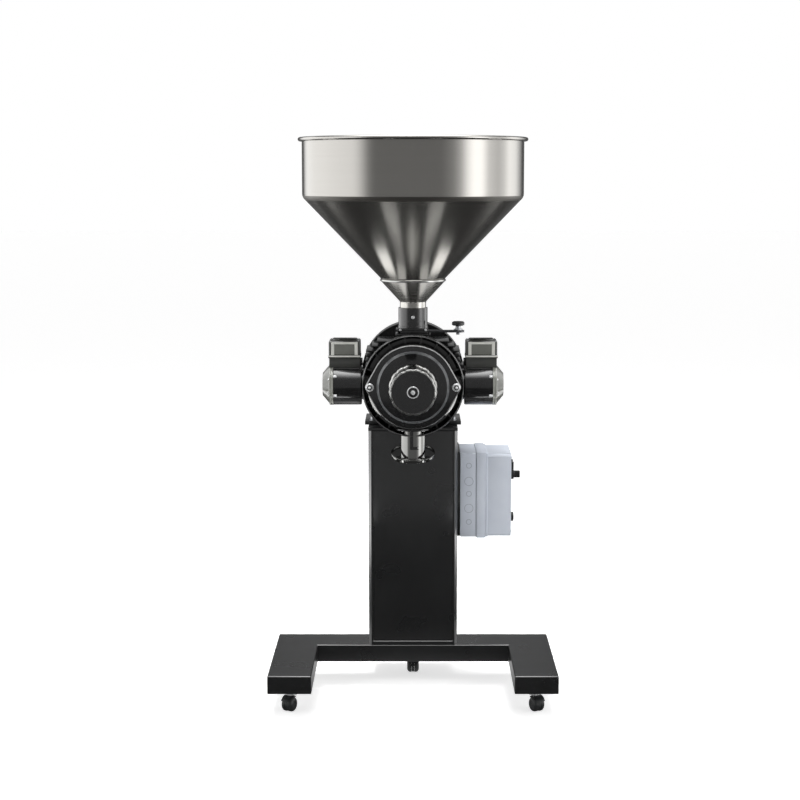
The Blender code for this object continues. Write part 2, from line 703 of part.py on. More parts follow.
def motor_ends():
    axis_point = (0, 0, axis_z)
    seat = BEARING_RADIUS + GAP
    inside = STATOR_RADIUS - SPIGOT_CLEARANCE
    pocket = BEARING_WIDTH + GAP

    # Front shield: the bearing sits in a pocket open towards the motor
    pocket_floor = shield_front + SHIELD_THICKNESS * 0.63
    front = [(SHAFT_RADIUS + RUN_GAP, shield_front), (flange_radius, shield_front),
             (flange_radius, MOTOR_START - GAP), (inside - GAP, MOTOR_START - GAP),
             (inside - GAP, MOTOR_START + SPIGOT_DEPTH), (inside - SPIGOT_WALL, MOTOR_START + SPIGOT_DEPTH),
             (inside - SPIGOT_WALL, pocket_floor), (seat, pocket_floor),
             (seat, shield_front + BEARING_SEAT), (SHAFT_RADIUS + RUN_GAP, shield_front + BEARING_SEAT)]
    node("motor_front_shield", turned(front, MEDIUM, Y_AXIS, axis_point), cast_aluminium())

    # Rear shield, with ribs that carry the fan cowl
    rear_start = motor_end + GAP
    rear_end = rear_start + REAR_SHIELD
    web = rear_start + REAR_SHIELD * 0.42
    pocket_end = rear_end - BEARING_SEAT
    pocket_start = pocket_end - pocket
    rim = FRAME_RADIUS - COWL_SHEET
    rear = [(STUB_RADIUS + 2 * RUN_GAP, rear_end), (seat, rear_end), (rim, rear_end), (rim, rear_start),
            (inside, rear_start), (inside, rear_start - SPIGOT_DEPTH),
            (inside - SPIGOT_WALL, rear_start - SPIGOT_DEPTH), (inside - SPIGOT_WALL, web),
            (seat + BEARING_BOSS, web), (seat + BEARING_BOSS, pocket_start), (seat, pocket_start),
            (seat, pocket_end), (STUB_RADIUS + 2 * RUN_GAP, pocket_end)]
    shield = node("motor_rear_shield", turned(rear, MEDIUM, Y_AXIS, axis_point), cast_aluminium())
    ribs = []
    rib_in = rim - 2 * COWL_SHEET
    rib_out = (COWL_RADIUS - COWL_SHEET) * cos(pi / FINE) - GAP
    for i in range(SHIELD_RIBS):
        rib = block((rib_in, rear_start + 0.001, -RIB_THICKNESS / 2),
                    (rib_out, rear_end - 0.001, RIB_THICKNESS / 2))
        angle = 2 * pi * (i + 0.5) / SHIELD_RIBS
        bmesh.ops.rotate(rib, verts=rib.verts, cent=(0, 0, 0), matrix=Matrix.Rotation(angle, 3, "Y"))
        bmesh.ops.translate(rib, verts=rib.verts, vec=axis_point)
        ribs.append(rib)
    unite(shield, joined(*ribs))

    # A bearing in each shield's pocket
    for name, start in (("motor_bearing_front", shield_front + BEARING_SEAT + GAP),
                        ("motor_bearing_rear", pocket_end - GAP - BEARING_WIDTH)):
        node(name, ring(SHAFT_RADIUS + RUN_GAP, BEARING_RADIUS, start, start + BEARING_WIDTH, Y_AXIS,
                        axis_point), machined_steel())

    # Fan cowl: a cup over the fan, with slots in its end
    cowl_start = rear_start
    cowl_end = cowl_start + COWL_LENGTH
    wall = COWL_SHEET
    cup = [(0, cowl_end), (COWL_RADIUS - 0.010, cowl_end), (COWL_RADIUS - 0.003, cowl_end - 0.003),
           (COWL_RADIUS, cowl_end - 0.010), (COWL_RADIUS, cowl_start),
           (COWL_RADIUS - wall, cowl_start), (COWL_RADIUS - wall, cowl_end - 0.010),
           (COWL_RADIUS - 0.010, cowl_end - wall), (0, cowl_end - wall)]
    cowl = node("fan_cowl", turned(cup, FINE, Y_AXIS, axis_point), black_enamel())
    slots = []
    for inner, outer, count in ((0.026, 0.072, 8), (0.082, 0.132, 20)):
        for i in range(count):
            slot = block((inner, cowl_end - 3 * wall, -0.0042), (outer, cowl_end + 2 * wall, 0.0042))
            angle = 2 * pi * i / count
            bmesh.ops.rotate(slot, verts=slot.verts, cent=(0, 0, 0),
                             matrix=Matrix.Rotation(angle, 3, "Y"))
            bmesh.ops.translate(slot, verts=slot.verts, vec=axis_point)
            slots.append(slot)
    cut(cowl, joined(*slots))


def motor_insides():
    axis_point = (0, 0, axis_z)
    middle = MOTOR_START + MOTOR_LENGTH / 2
    core = ROTOR_LENGTH / 2
    rear_start = motor_end + GAP
    outer = FRAME_RADIUS - FRAME_WALL - 2 * GAP
    coil = COIL_END
    bore = (ROTOR_RADIUS + RUN_GAP) / cos(pi / MEDIUM)
    stator = [(bore, middle - core), (bore + coil / 2, middle - core - coil),
              (outer - 1.5 * coil, middle - core - coil), (outer - 1.2 * coil, middle - core),
              (outer, middle - core), (outer, middle + core), (outer - 1.2 * coil, middle + core),
              (outer - 1.5 * coil, middle + core + coil), (bore + coil / 2, middle + core + coil),
              (bore, middle + core)]
    node("motor_stator", turned(stator, MEDIUM, Y_AXIS, axis_point), copper_winding())

    # One shaft carries the rotor, the feed screw, the rotating disc and the fan
    tip = disc_back() - DISC_THICKNESS + 0.001
    shoulder = chamber_rear - 0.017
    fan_start = rear_start + REAR_SHIELD + FAN_CLEARANCE
    shaft_end = fan_start + FAN_WIDTH + BEARING_SEAT
    journal = rear_start + REAR_SHIELD - BEARING_SEAT - GAP
    profile = [(0, tip), (STUB_RADIUS, tip), (STUB_RADIUS, shoulder), (SHAFT_RADIUS, shoulder + 0.001),
               (SHAFT_RADIUS, middle - core), (ROTOR_RADIUS, middle - core),
               (ROTOR_RADIUS, middle + core), (SHAFT_RADIUS, middle + core),
               (SHAFT_RADIUS, journal), (STUB_RADIUS, journal),
               (STUB_RADIUS, shaft_end), (0, shaft_end)]
    shaft = node("drive_shaft", turned(profile, MEDIUM, Y_AXIS, axis_point), machined_steel(),
                 origin=axis_point)

    # Straight-bladed fan, cut from its end view
    hub = FAN_HUB
    outline = []
    for i in range(FAN_BLADES):
        middle_angle = 2 * pi * i / FAN_BLADES
        half = FAN_BLADE / 2
        base_angle = half / hub
        tip_angle = half / FAN_RADIUS
        outline += arc(hub, middle_angle - pi / FAN_BLADES, middle_angle - base_angle, 3)[:-1]
        outline += [(hub * cos(middle_angle - base_angle), hub * sin(middle_angle - base_angle)),
                    (FAN_RADIUS * cos(middle_angle - tip_angle), FAN_RADIUS * sin(middle_angle - tip_angle)),
                    (FAN_RADIUS * cos(middle_angle + tip_angle), FAN_RADIUS * sin(middle_angle + tip_angle)),
                    (hub * cos(middle_angle + base_angle), hub * sin(middle_angle + base_angle))]
    outline = [(x, z + axis_z) for x, z in outline]
    fan = node("cooling_fan", extruded(outline, fan_start, fan_start + FAN_WIDTH, "Y"), black_plastic(),
               origin=axis_point, parent=shaft)
    cut(fan, rod(STUB_RADIUS + GAP, fan_start - FAN_WIDTH, fan_start + 2 * FAN_WIDTH, Y_AXIS, axis_point,
                 MEDIUM))
    return shaft


def motor_terminals():
    # The terminal box stands on the frame's right side
    low = (SIDE_FIN_REACH + GAP, MOTOR_START + 0.025, axis_z - TERMINAL_HEIGHT * 0.55)
    high = (low[0] + TERMINAL_WIDTH, low[1] + TERMINAL_LENGTH, low[2] + TERMINAL_HEIGHT)
    node("motor_terminal_box", block(low, high, 0.004), cast_aluminium())


def disc_back():
    return cavity_rear - 0.004


def chamber():
    axis_point = (0, 0, axis_z)
    rim_in = RIM_RADIUS - RIM_WALL
    rim_back = CHAMBER_FRONT + RIM_DEPTH
    rear = chamber_rear
    wall_start = rear - 0.014
    profile = [(rim_in, CHAMBER_FRONT + 0.001), (rim_in + 0.001, CHAMBER_FRONT),
               (RIM_RADIUS - 0.002, CHAMBER_FRONT), (RIM_RADIUS, CHAMBER_FRONT + 0.002),
               (RIM_RADIUS, rim_back), (CHAMBER_RADIUS, rim_back + 0.010),
               (CHAMBER_RADIUS, rear - 0.012), (flange_radius, rear - 0.010),
               (flange_radius, rear), (SHAFT_RADIUS + 0.0015, rear),
               (SHAFT_RADIUS + 0.0015, wall_start), (FEED_BORE, wall_start),
               (FEED_BORE, cavity_rear), (CAVITY_RADIUS, cavity_rear), (CAVITY_RADIUS, seat_y),
               (rim_in, seat_y)]
    body = node("grinding_chamber", turned(profile, FINE, Y_AXIS, axis_point), black_enamel())

    inlet = block((-INLET_HALF, -INLET_HALF, axis_z + CHAMBER_RADIUS - 0.022),
                  (INLET_HALF, INLET_HALF, INLET_TOP), 0.002)
    pads = [rod(SIDE_RADIUS - SIDE_PAD_STEP, CHAMBER_RADIUS - 0.012, SIDE_START - GAP, side * X_AXIS,
                (0, SIDE_Y, axis_z), MEDIUM) for side in (-1, 1)]
    unite(body, inlet, *pads)
    throat = rod(INLET_BORE, axis_z + FEED_BORE * 0.5, INLET_TOP + 0.01, centre=(0, 0, 0), steps=MEDIUM)
    pocket = rod(SPOUT_FLANGE_RADIUS + 0.002, SPOUT_SEAT - 0.06, SPOUT_SEAT, centre=(0, SPOUT_Y, 0),
                 steps=MEDIUM)
    chute = rod(SPOUT_RADIUS - 0.006, SPOUT_SEAT - 0.01, axis_z - CAVITY_RADIUS * 0.80,
                centre=(0, SPOUT_Y, 0), steps=COARSE)
    stud_holes = [rod(STUD_RADIUS + GAP, seat_y - 0.002, seat_y + 0.018, Y_AXIS,
                      (side * EAR_OFFSET, 0, axis_z), SMALL) for side in (-1, 1)]
    # The casting is cored from the rear, except under the inlet
    core_in = FEED_BORE + 0.008
    core_out = CHAMBER_RADIUS - 0.020
    core_start = pi / 2 + radians(CORE_GATE)
    core_end = 5 * pi / 2 - radians(CORE_GATE)
    section = arc(core_out, core_start, core_end, 24) + arc(core_in, core_end, core_start, 16)
    core = extruded([(x, z + axis_z) for x, z in section], cavity_rear + CORE_WALL, rear + 0.01, "Y")
    cut(body, throat, pocket, chute, core, *stud_holes)


def door_outline():
    # A round door with an ear on each side, joined by tangents
    lean = acos((DOOR_RADIUS - EAR_RADIUS) / EAR_OFFSET)
    outline = arc(EAR_RADIUS, -lean, lean, 6, (EAR_OFFSET, 0))
    outline += arc(DOOR_RADIUS, lean, pi - lean, 18)
    outline += arc(EAR_RADIUS, pi - lean, pi + lean, 6, (-EAR_OFFSET, 0))
    outline += arc(DOOR_RADIUS, pi + lean, 2 * pi - lean, 18)
    return [(x, z + axis_z) for x, z in outline]


def door():
    axis_point = (0, 0, axis_z)
    back = seat_y - GAP
    slab = extruded(door_outline(), DOOR_FRONT, back, "Y")
    front_edges = [edge for edge in slab.edges
                   if all(abs(vert.co.y - DOOR_FRONT) < 1e-6 for vert in edge.verts)]
    bmesh.ops.bevel(slab, geom=front_edges, offset=DOOR_EDGE, segments=2, affect="EDGES",
                    profile=0.5, material=-1)
    panel = node("front_door", slab, black_enamel())
    crown = DOOR_FRONT - DOOR_CROWN
    bulge = turned([(0, DOOR_FRONT + DOOR_EDGE), (DOOR_STEP_OUTER, DOOR_FRONT + DOOR_EDGE),
                    (DOOR_STEP_OUTER, DOOR_FRONT), (DOOR_STEP_INNER, DOOR_FRONT - DOOR_STEP_HEIGHT),
                    (DOOR_HUB, crown), (0, crown)], FINE, Y_AXIS, axis_point)
    beyond = back + DOOR_WALL
    hollow = turned([(0, beyond), (CARRIER_RADIUS + RUN_GAP, beyond),
                     (CARRIER_RADIUS + RUN_GAP, DOOR_FRONT + DOOR_WALL), (HUB_RADIUS, DOOR_FRONT + DOOR_SKIN),
                     (0, DOOR_FRONT + DOOR_SKIN)], MEDIUM, Y_AXIS, axis_point)
    spindle_bore = rod(SPINDLE_RADIUS + RUN_GAP, crown - DOOR_WALL, beyond, Y_AXIS, axis_point)
    stud_bores = [rod(STUD_RADIUS + GAP, DOOR_FRONT - DOOR_WALL, beyond, Y_AXIS,
                      (side * EAR_OFFSET, 0, axis_z), SMALL) for side in (-1, 1)]
    unite(panel, bulge)
    cut(panel, hollow, spindle_bore, *stud_bores)

    # Each stud carries a washer and a nut
    seat = DOOR_FRONT - GAP
    nut_back = seat - WASHER_THICKNESS
    nut_front = nut_back - NUT_HEIGHT
    nut_radius = NUT_ACROSS_FLATS / sqrt(3)
    for side, name in ((-1, "door_stud_left"), (1, "door_stud_right")):
        place_stud = (side * EAR_OFFSET, 0, axis_z)
        stud = node(name, turned([(0, nut_front - 0.003), (STUD_RADIUS - 0.0008, nut_front - 0.003),
                                  (STUD_RADIUS, nut_front - 0.002), (STUD_RADIUS, nut_back),
                                  (WASHER_RADIUS, nut_back), (WASHER_RADIUS, seat),
                                  (STUD_RADIUS, seat), (STUD_RADIUS, seat_y + 0.016),
                                  (0, seat_y + 0.016)], SMALL, Y_AXIS, place_stud), machined_steel())
        unite(stud, turned([(0, nut_front), (nut_radius, nut_front), (nut_radius, nut_back + 0.0003),
                            (0, nut_back + 0.0003)], 6, Y_AXIS, place_stud))


def lobed(radius):
    # Outline of the hand knob: a circle with a narrow groove between each two lobes
    points = []
    for i in range(KNOB_LOBES * 3):
        depth = LOBE_DEPTH if i % 3 == 0 else 0.0
        angle = 2 * pi * i / (KNOB_LOBES * 3)
        points.append(((radius - depth) * cos(angle), (radius - depth) * sin(angle) + axis_z))
    return points


def setting():
    axis_point = (0, 0, axis_z)
    drum = extruded(lobed(KNOB_RADIUS), KNOB_FRONT, KNOB_START, "Y")
    taper = KNOB_FACE_RADIUS / KNOB_RADIUS
    for vert in drum.verts:
        if abs(vert.co.y - KNOB_FRONT) < 1e-6:
            vert.co.x *= taper
            vert.co.z = axis_z + (vert.co.z - axis_z) * taper
    knob = node("adjusting_knob", drum, polished_stainless(), origin=axis_point, sharp=20)
    hollow_in = KNOB_RADIUS - LOBE_DEPTH - KNOB_WALL
    hollow = ring(HUB_RADIUS, hollow_in, KNOB_FRONT + KNOB_WALL, KNOB_START + 0.01, Y_AXIS, axis_point)
    hub_bore = rod(SPINDLE_RADIUS + GAP, KNOB_FRONT - 0.01, KNOB_START + 0.01, Y_AXIS, axis_point)
    face_recess = ring(HUB_RADIUS, KNOB_FACE_RADIUS - 0.006, KNOB_FRONT - 0.01, KNOB_FRONT + 0.0012,
                       Y_AXIS, axis_point, FINE)
    cut(knob, hollow, hub_bore, face_recess)

    # The spindle is bolted in the knob's hub and its screw end draws the disc carrier
    tip = carrier_back() - CARRIER_THICKNESS + SPINDLE_ENTRY
    head = KNOB_FRONT - BOLT_HEAD_HEIGHT
    washer = KNOB_FRONT - SPINDLE_WASHER
    node("adjusting_spindle",
         turned([(0, head), (BOLT_HEAD_RADIUS - BOLT_HEAD_EDGE, head),
                 (BOLT_HEAD_RADIUS, head + BOLT_HEAD_EDGE), (BOLT_HEAD_RADIUS, washer),
                 (SPINDLE_WASHER_RADIUS, washer),
                 (SPINDLE_WASHER_RADIUS, KNOB_FRONT - GAP), (SPINDLE_RADIUS, KNOB_FRONT - GAP),
                 (SPINDLE_RADIUS, tip), (0, tip)],
                MEDIUM, Y_AXIS, axis_point),
         machined_steel(), origin=axis_point, parent=knob)


def carrier_back():
    # The carrier's rear face, which holds the fixed disc
    return fixed_back() - GAP


def fixed_back():
    # The fixed disc's plain face; its teeth look towards the rotating disc
    return disc_back() - 2 * DISC_THICKNESS - DISC_GAP


def toothed_disc(plain, face, bore):
    # A ring with radial ridges on one face, raised from every second spoke
    steps = 2 * DISC_TEETH
    towards = 1 if face > plain else -1
    flat = 0.004
    profile = [(bore, plain), (DISC_RADIUS, plain), (DISC_RADIUS, face - towards * 0.002),
               (DISC_RADIUS - flat * 0.4, face), ((DISC_RADIUS + bore) / 2, face - towards * 0.001),
               (bore + flat, face - towards * 0.0035), (bore, face - towards * 0.0035)]
    disc = turned(profile, steps, Y_AXIS, (0, 0, axis_z))
    for vert in disc.verts:
        radius = hypot(vert.co.x, vert.co.z - axis_z)
        spoke = round(atan2(vert.co.z - axis_z, vert.co.x) / (2 * pi) * steps)
        on_face = abs(vert.co.y - face) < 0.0015 and radius > (DISC_RADIUS + bore) / 2 - 0.001
        if spoke % 2 == 0 and on_face and radius < DISC_RADIUS - 0.0005:
            vert.co.y += towards * 0.0012
        elif on_face and radius < DISC_RADIUS - 0.0005:
            vert.co.y -= towards * (TOOTH_HEIGHT - 0.0012)
    return disc


def discs(shaft):
    axis_point = (0, 0, axis_z)
    back = disc_back()
    rotating = node("rotating_disc", toothed_disc(back, back - DISC_THICKNESS, STUB_RADIUS + GAP),
                    machined_steel(), origin=axis_point, parent=shaft, sharp=20)
    # The beans pass through these holes from the feed screw to the teeth
    feed_radius = (STUB_RADIUS + DISC_EYE) / 2 + 0.001
    feed = []
    for i in range(FEED_HOLES):
        angle = 2 * pi * i / FEED_HOLES
        place_hole = (feed_radius * cos(angle), 0, axis_z + feed_radius * sin(angle))
        feed.append(rod(FEED_HOLE_RADIUS, back - 0.02, back + 0.01, Y_AXIS, place_hole, SMALL))
    cut(rotating, joined(*feed))
    plain = fixed_back()
    empty = bpy.data.objects.new("setting_slide", None)
    bpy.context.collection.objects.link(empty)
    empty.location = axis_point
    bpy.context.view_layer.update()
    node("fixed_disc", toothed_disc(plain, plain + DISC_THICKNESS, DISC_EYE), machined_steel(),
         origin=axis_point, parent=empty, sharp=20)
    rear = carrier_back()
    front = rear - CARRIER_THICKNESS
    web = rear - CARRIER_WEB
    skirt = CARRIER_RADIUS - 0.006
    floor = front + CARRIER_BORE_DEPTH
    bore = SPINDLE_RADIUS + RUN_GAP
    carrier = turned([(0, floor), (bore, floor), (bore, front),
                      (CARRIER_HUB, front), (CARRIER_HUB, web), (skirt, web),
                      (skirt, front), (CARRIER_RADIUS, front), (CARRIER_RADIUS, rear), (0, rear)],
                     MEDIUM, Y_AXIS, axis_point)
    node("disc_carrier", carrier, machined_steel(), origin=axis_point, parent=empty)

    # Feed screw: a core with one flight, swept along a helix
    core = STUB_RADIUS + 0.004
    reach = FEED_BORE - 0.0025
    outline = arc(core, radians(24), radians(336), 7)
    outline += [(reach * cos(radians(-6)), reach * sin(radians(-6))),
                (reach * cos(radians(6)), reach * sin(radians(6)))]
    start = back + GAP
    end = chamber_rear - 0.014 - 0.005
    steps = ceil(FLIGHT_TURNS * 12)
    screw = twisted(outline, start, end, FLIGHT_TURNS, steps)
    bmesh.ops.translate(screw, verts=screw.verts, vec=axis_point)
    screw = node("feed_screw", screw, machined_steel(), origin=axis_point, parent=shaft)
    cut(screw, rod(STUB_RADIUS + GAP, start - 0.01, end + 0.01, Y_AXIS, axis_point, MEDIUM))


def inlet():
    half = INLET_HALF
    low = INLET_TOP + GAP
    sheet = GATE_SHEET
    slide_low = low + (GATE_HOUSING_HEIGHT - sheet) / 2
    plate_half = INLET_BORE + 0.004
    housing = node("gate_housing", block((-half, -half, low), (half, half, gate_top), 0.0015),
                   black_enamel())
    slot = block((-plate_half - 2 * GAP, -plate_half - GAP, slide_low - GAP),
                 (half + 0.01, plate_half + GAP, slide_low + sheet + GAP))
    cut(housing, slot, rod(INLET_BORE, low - 0.01, gate_top + 0.01, steps=MEDIUM))

    # The gate is a plate across the throat, with a tongue to the right
    tongue = GATE_TONGUE / 2
    nose = arc(tongue, -pi / 2, pi / 2, 6, (GATE_REACH - tongue, 0))
    outline = [(-plate_half, -plate_half), (half - 0.001, -plate_half), (half - 0.001, -tongue)]
    outline += nose + [(half - 0.001, tongue), (half - 0.001, plate_half), (-plate_half, plate_half)]
    slide = node("gate_slide", extruded(outline, slide_low, slide_low + sheet), machined_steel())
    pin = 0.004
    cut(slide, rod(pin + GAP, slide_low - 0.01, slide_low + 0.02, centre=(GATE_KNOB_X, 0, 0),
                   steps=SMALL))
    top = slide_low + sheet + GAP
    bottom = slide_low - GAP
    stem = 0.0088
    knob = turned([(0, bottom - 0.006), (0.0058, bottom - 0.006), (0.0058, bottom), (pin, bottom),
                   (pin, top), (stem, top), (stem * 0.8, top + 0.011),
                   (GATE_KNOB_RADIUS - 0.002, top + 0.013), (GATE_KNOB_RADIUS, top + 0.016),
                   (GATE_KNOB_RADIUS, top + 0.020), (GATE_KNOB_RADIUS - 0.003, top + 0.024),
                   (0, top + 0.024)],
                  COARSE, centre=(GATE_KNOB_X, 0, 0))
    node("gate_knob", knob, black_plastic(), origin=(GATE_KNOB_X, 0, top), parent=slide)

    # Socket that takes the hopper's neck
    bore = NECK_RADIUS + GAP
    low = gate_top + GAP
    socket = turned([(INLET_BORE, low), (SOCKET_RADIUS + 0.0010, low), (SOCKET_RADIUS + 0.0010, low + 0.005),
                     (SOCKET_RADIUS, low + 0.006), (SOCKET_RADIUS, socket_top - 0.001),
                     (SOCKET_RADIUS - 0.001, socket_top), (bore, socket_top),
                     (bore, socket_top - NECK_INSERT - GAP), (INLET_BORE, socket_top - NECK_INSERT - GAP)],
                    FINE)
    node("inlet_socket", socket, black_enamel())


def hopper():
    wall = HOPPER_SHEET
    bead_x = HOPPER_RADIUS + HOPPER_BEAD
    cone_low = CONE_FOOT_RADIUS
    shoulder_mid = (HOPPER_RADIUS - SHOULDER_DRAFT * 0.29, shoulder_bottom + SHOULDER_HEIGHT * 0.67)
    outer = [(HOPPER_RADIUS, hopper_top - HOPPER_BEAD), (HOPPER_RADIUS, shoulder_top), shoulder_mid,
             (HOPPER_RADIUS - SHOULDER_DRAFT, shoulder_bottom), (cone_low, cone_foot)]
    bead = arc(HOPPER_BEAD, pi, -pi * 0.85, 5, (bead_x, hopper_top))
    inner = [(r - wall, z + wall * 0.7) for r, z in reversed(outer[1:])]
    inner[-1] = (HOPPER_RADIUS - wall, shoulder_top)
    profile = outer[::-1]
    profile += bead[::-1]
    profile += [(HOPPER_RADIUS - wall, hopper_top)]
    profile += inner[::-1]
    node("hopper_shell", turned(profile, FINE), brushed_stainless())

    # Collar, lower funnel and neck are one spun piece
    low = socket_top - NECK_INSERT
    top = cone_foot - GAP
    outline = [(cone_low - wall, top), (COLLAR_RADIUS - 0.001, top), (COLLAR_RADIUS, top - 0.001),
               (COLLAR_RADIUS, top - COLLAR_HEIGHT), (COLLAR_RADIUS - 0.002, top - COLLAR_HEIGHT - 0.001),
               (NECK_RADIUS, neck_top), (NECK_RADIUS, low), (NECK_RADIUS - wall, low),
               (NECK_RADIUS - wall, neck_top), (cone_low - 3 * wall, top - COLLAR_HEIGHT)]
    node("hopper_funnel", turned(outline, FINE), brushed_stainless())


def outlet():
    centre = (0, SPOUT_Y, 0)
    inner = (SPOUT_RADIUS - SPOUT_SHEET) * cos(pi / MEDIUM) - GAP
    bore = inner - SPOUT_SHEET
    seat = SPOUT_SEAT - GAP
    flange_low = seat - SPOUT_FLANGE
    nozzle = node("outlet_nozzle",
                  turned([(bore, seat), (SPOUT_FLANGE_RADIUS, seat), (SPOUT_FLANGE_RADIUS, flange_low),
                          (inner, flange_low), (inner, NOZZLE_BOTTOM), (bore, NOZZLE_BOTTOM)],
                         MEDIUM, centre=centre), polished_stainless())
    pin_way = Vector((sin(radians(PIN_ANGLE)), -cos(radians(PIN_ANGLE)), 0))
    pin_end = SPOUT_RADIUS + 0.0025
    unite(nozzle, rod(PIN_RADIUS, inner - 0.001, pin_end, pin_way, (0, SPOUT_Y, PIN_HEIGHT), SMALL))

    # The sleeve slides over the nozzle; its slot runs down from the top and then turns
    sleeve_top = flange_low - GAP
    wall_in = SPOUT_RADIUS - SPOUT_SHEET
    band_low = BAG_FLANGE_Z - BAG_FLANGE
    sleeve = node("outlet_sleeve",
                  turned([(wall_in, sleeve_top), (SPOUT_RADIUS, sleeve_top), (SPOUT_RADIUS, BAG_FLANGE_Z),
                          (BAG_FLANGE_RADIUS, BAG_FLANGE_Z - 0.0005), (BAG_FLANGE_RADIUS, band_low),
                          (SPOUT_RADIUS, band_low), (SPOUT_RADIUS, SLEEVE_BOTTOM + 0.002),
                          (SPOUT_RADIUS - 0.0008, SLEEVE_BOTTOM), (wall_in, SLEEVE_BOTTOM)],
                         MEDIUM, centre=centre), polished_stainless(), origin=centre)
    slot = []
    half = SLOT_WIDTH / 2
    reach_out = SPOUT_RADIUS + 0.004
    reach_in = wall_in - 0.001
    steps = 6
    leg_angle = PIN_ANGLE - SLOT_TURN
    leg = block((-half, -reach_out, PIN_HEIGHT - half), (half, -reach_in + 0.006, sleeve_top + 0.01))
    bmesh.ops.rotate(leg, verts=leg.verts, cent=(0, 0, 0),
                     matrix=Matrix.Rotation(radians(leg_angle), 3, "Z"))
    bmesh.ops.translate(leg, verts=leg.verts, vec=centre)
    slot.append(leg)
    run = bmesh.new()
    spare = 5.0 + degrees_of(half / SPOUT_RADIUS)
    for i in range(steps + 1):
        angle = radians(leg_angle + (SLOT_TURN + spare) * i / steps)
        way = Vector((sin(angle), -cos(angle), 0))
        for radius in (reach_in - 0.002, reach_out):
            for z in (PIN_HEIGHT - half, PIN_HEIGHT + half):
                run.verts.new(Vector(centre) + way * radius + Vector((0, 0, z)))
    run.verts.ensure_lookup_table()
    for i in range(steps):
        a = 4 * i
        b = a + 4
        for p, q in ((0, 1), (1, 3), (3, 2), (2, 0)):
            run.faces.new([run.verts[k] for k in (a + p, a + q, b + q, b + p)])
    run.faces.new([run.verts[k] for k in (0, 1, 3, 2)])
    last = 4 * steps
    run.faces.new([run.verts[last + k] for k in (0, 1, 3, 2)])
    bmesh.ops.recalc_face_normals(run, faces=run.faces)
    slot.append(run)
    hinge_z, hinge_y = hinge_place()
    lug = block((-HINGE_WIDTH / 2, SPOUT_Y + SPOUT_RADIUS - 0.001, hinge_z - 0.005),
                (HINGE_WIDTH / 2, hinge_y + 0.001, hinge_z + 0.005), 0.001)
    pin = rod(HINGE_PIN_RADIUS, -HINGE_WIDTH * 1.15, HINGE_WIDTH * 1.15, X_AXIS,
              (0, hinge_y - 0.001, hinge_z), SMALL)
    unite(sleeve, lug, pin)
    cut(sleeve, *slot)
    bag_ring(sleeve)


def degrees_of(angle):
    return angle * 180 / pi


def hinge_place():
    # Where the bag ring's hinge lies: behind the sleeve, at the ring's high side
    tilt = radians(BAG_RING_TILT)
    back = BAG_RING_RADIUS * cos(tilt)
    rise = BAG_RING_RADIUS * sin(tilt)
    return BAG_RING_Z + rise, SPOUT_Y + back - 0.011


def bag_ring(sleeve):
    # An open hoop of flat band, with two knuckles at the back
    hinge_z, hinge_y = hinge_place()
    half_mouth = radians(BAG_RING_MOUTH) / 2
    outer = arc(BAG_RING_RADIUS + BAG_RING_SHEET / 2, -pi / 2 + half_mouth, 3 * pi / 2 - half_mouth, 28)
    inner = arc(BAG_RING_RADIUS - BAG_RING_SHEET / 2, 3 * pi / 2 - half_mouth, -pi / 2 + half_mouth, 28)
    hoop = extruded(outer + inner, -BAG_RING_BAND / 2, BAG_RING_BAND / 2)
    turn = Matrix.Rotation(radians(BAG_RING_TILT), 3, "X")
    bmesh.ops.rotate(hoop, verts=hoop.verts, cent=(0, 0, 0), matrix=turn)
    bmesh.ops.translate(hoop, verts=hoop.verts, vec=(0, SPOUT_Y, BAG_RING_Z))
    pin = (0, hinge_y - 0.001, hinge_z)
    made = node("bag_ring", hoop, polished_stainless(), origin=pin, parent=sleeve)
    ears = []
    eyes = []
    for side in (-1, 1):
        low = HINGE_WIDTH / 2 + 2 * GAP
        high = low + 0.0035
        ear = block((low, pin[1] - 0.0045, hinge_z - 0.0042),
                    (high, SPOUT_Y + BAG_RING_RADIUS * cos(radians(BAG_RING_TILT)), hinge_z + 0.0042))
        if side < 0:
            bmesh.ops.scale(ear, verts=ear.verts, vec=(-1, 1, 1))
            bmesh.ops.recalc_face_normals(ear, faces=ear.faces)
        ears.append(ear)
        eyes.append(rod(HINGE_PIN_RADIUS + RUN_GAP, side * (low - 0.002), side * (high + 0.002),
                        X_AXIS, pin, SMALL))
    unite(made, *ears)
    cut(made, *eyes)


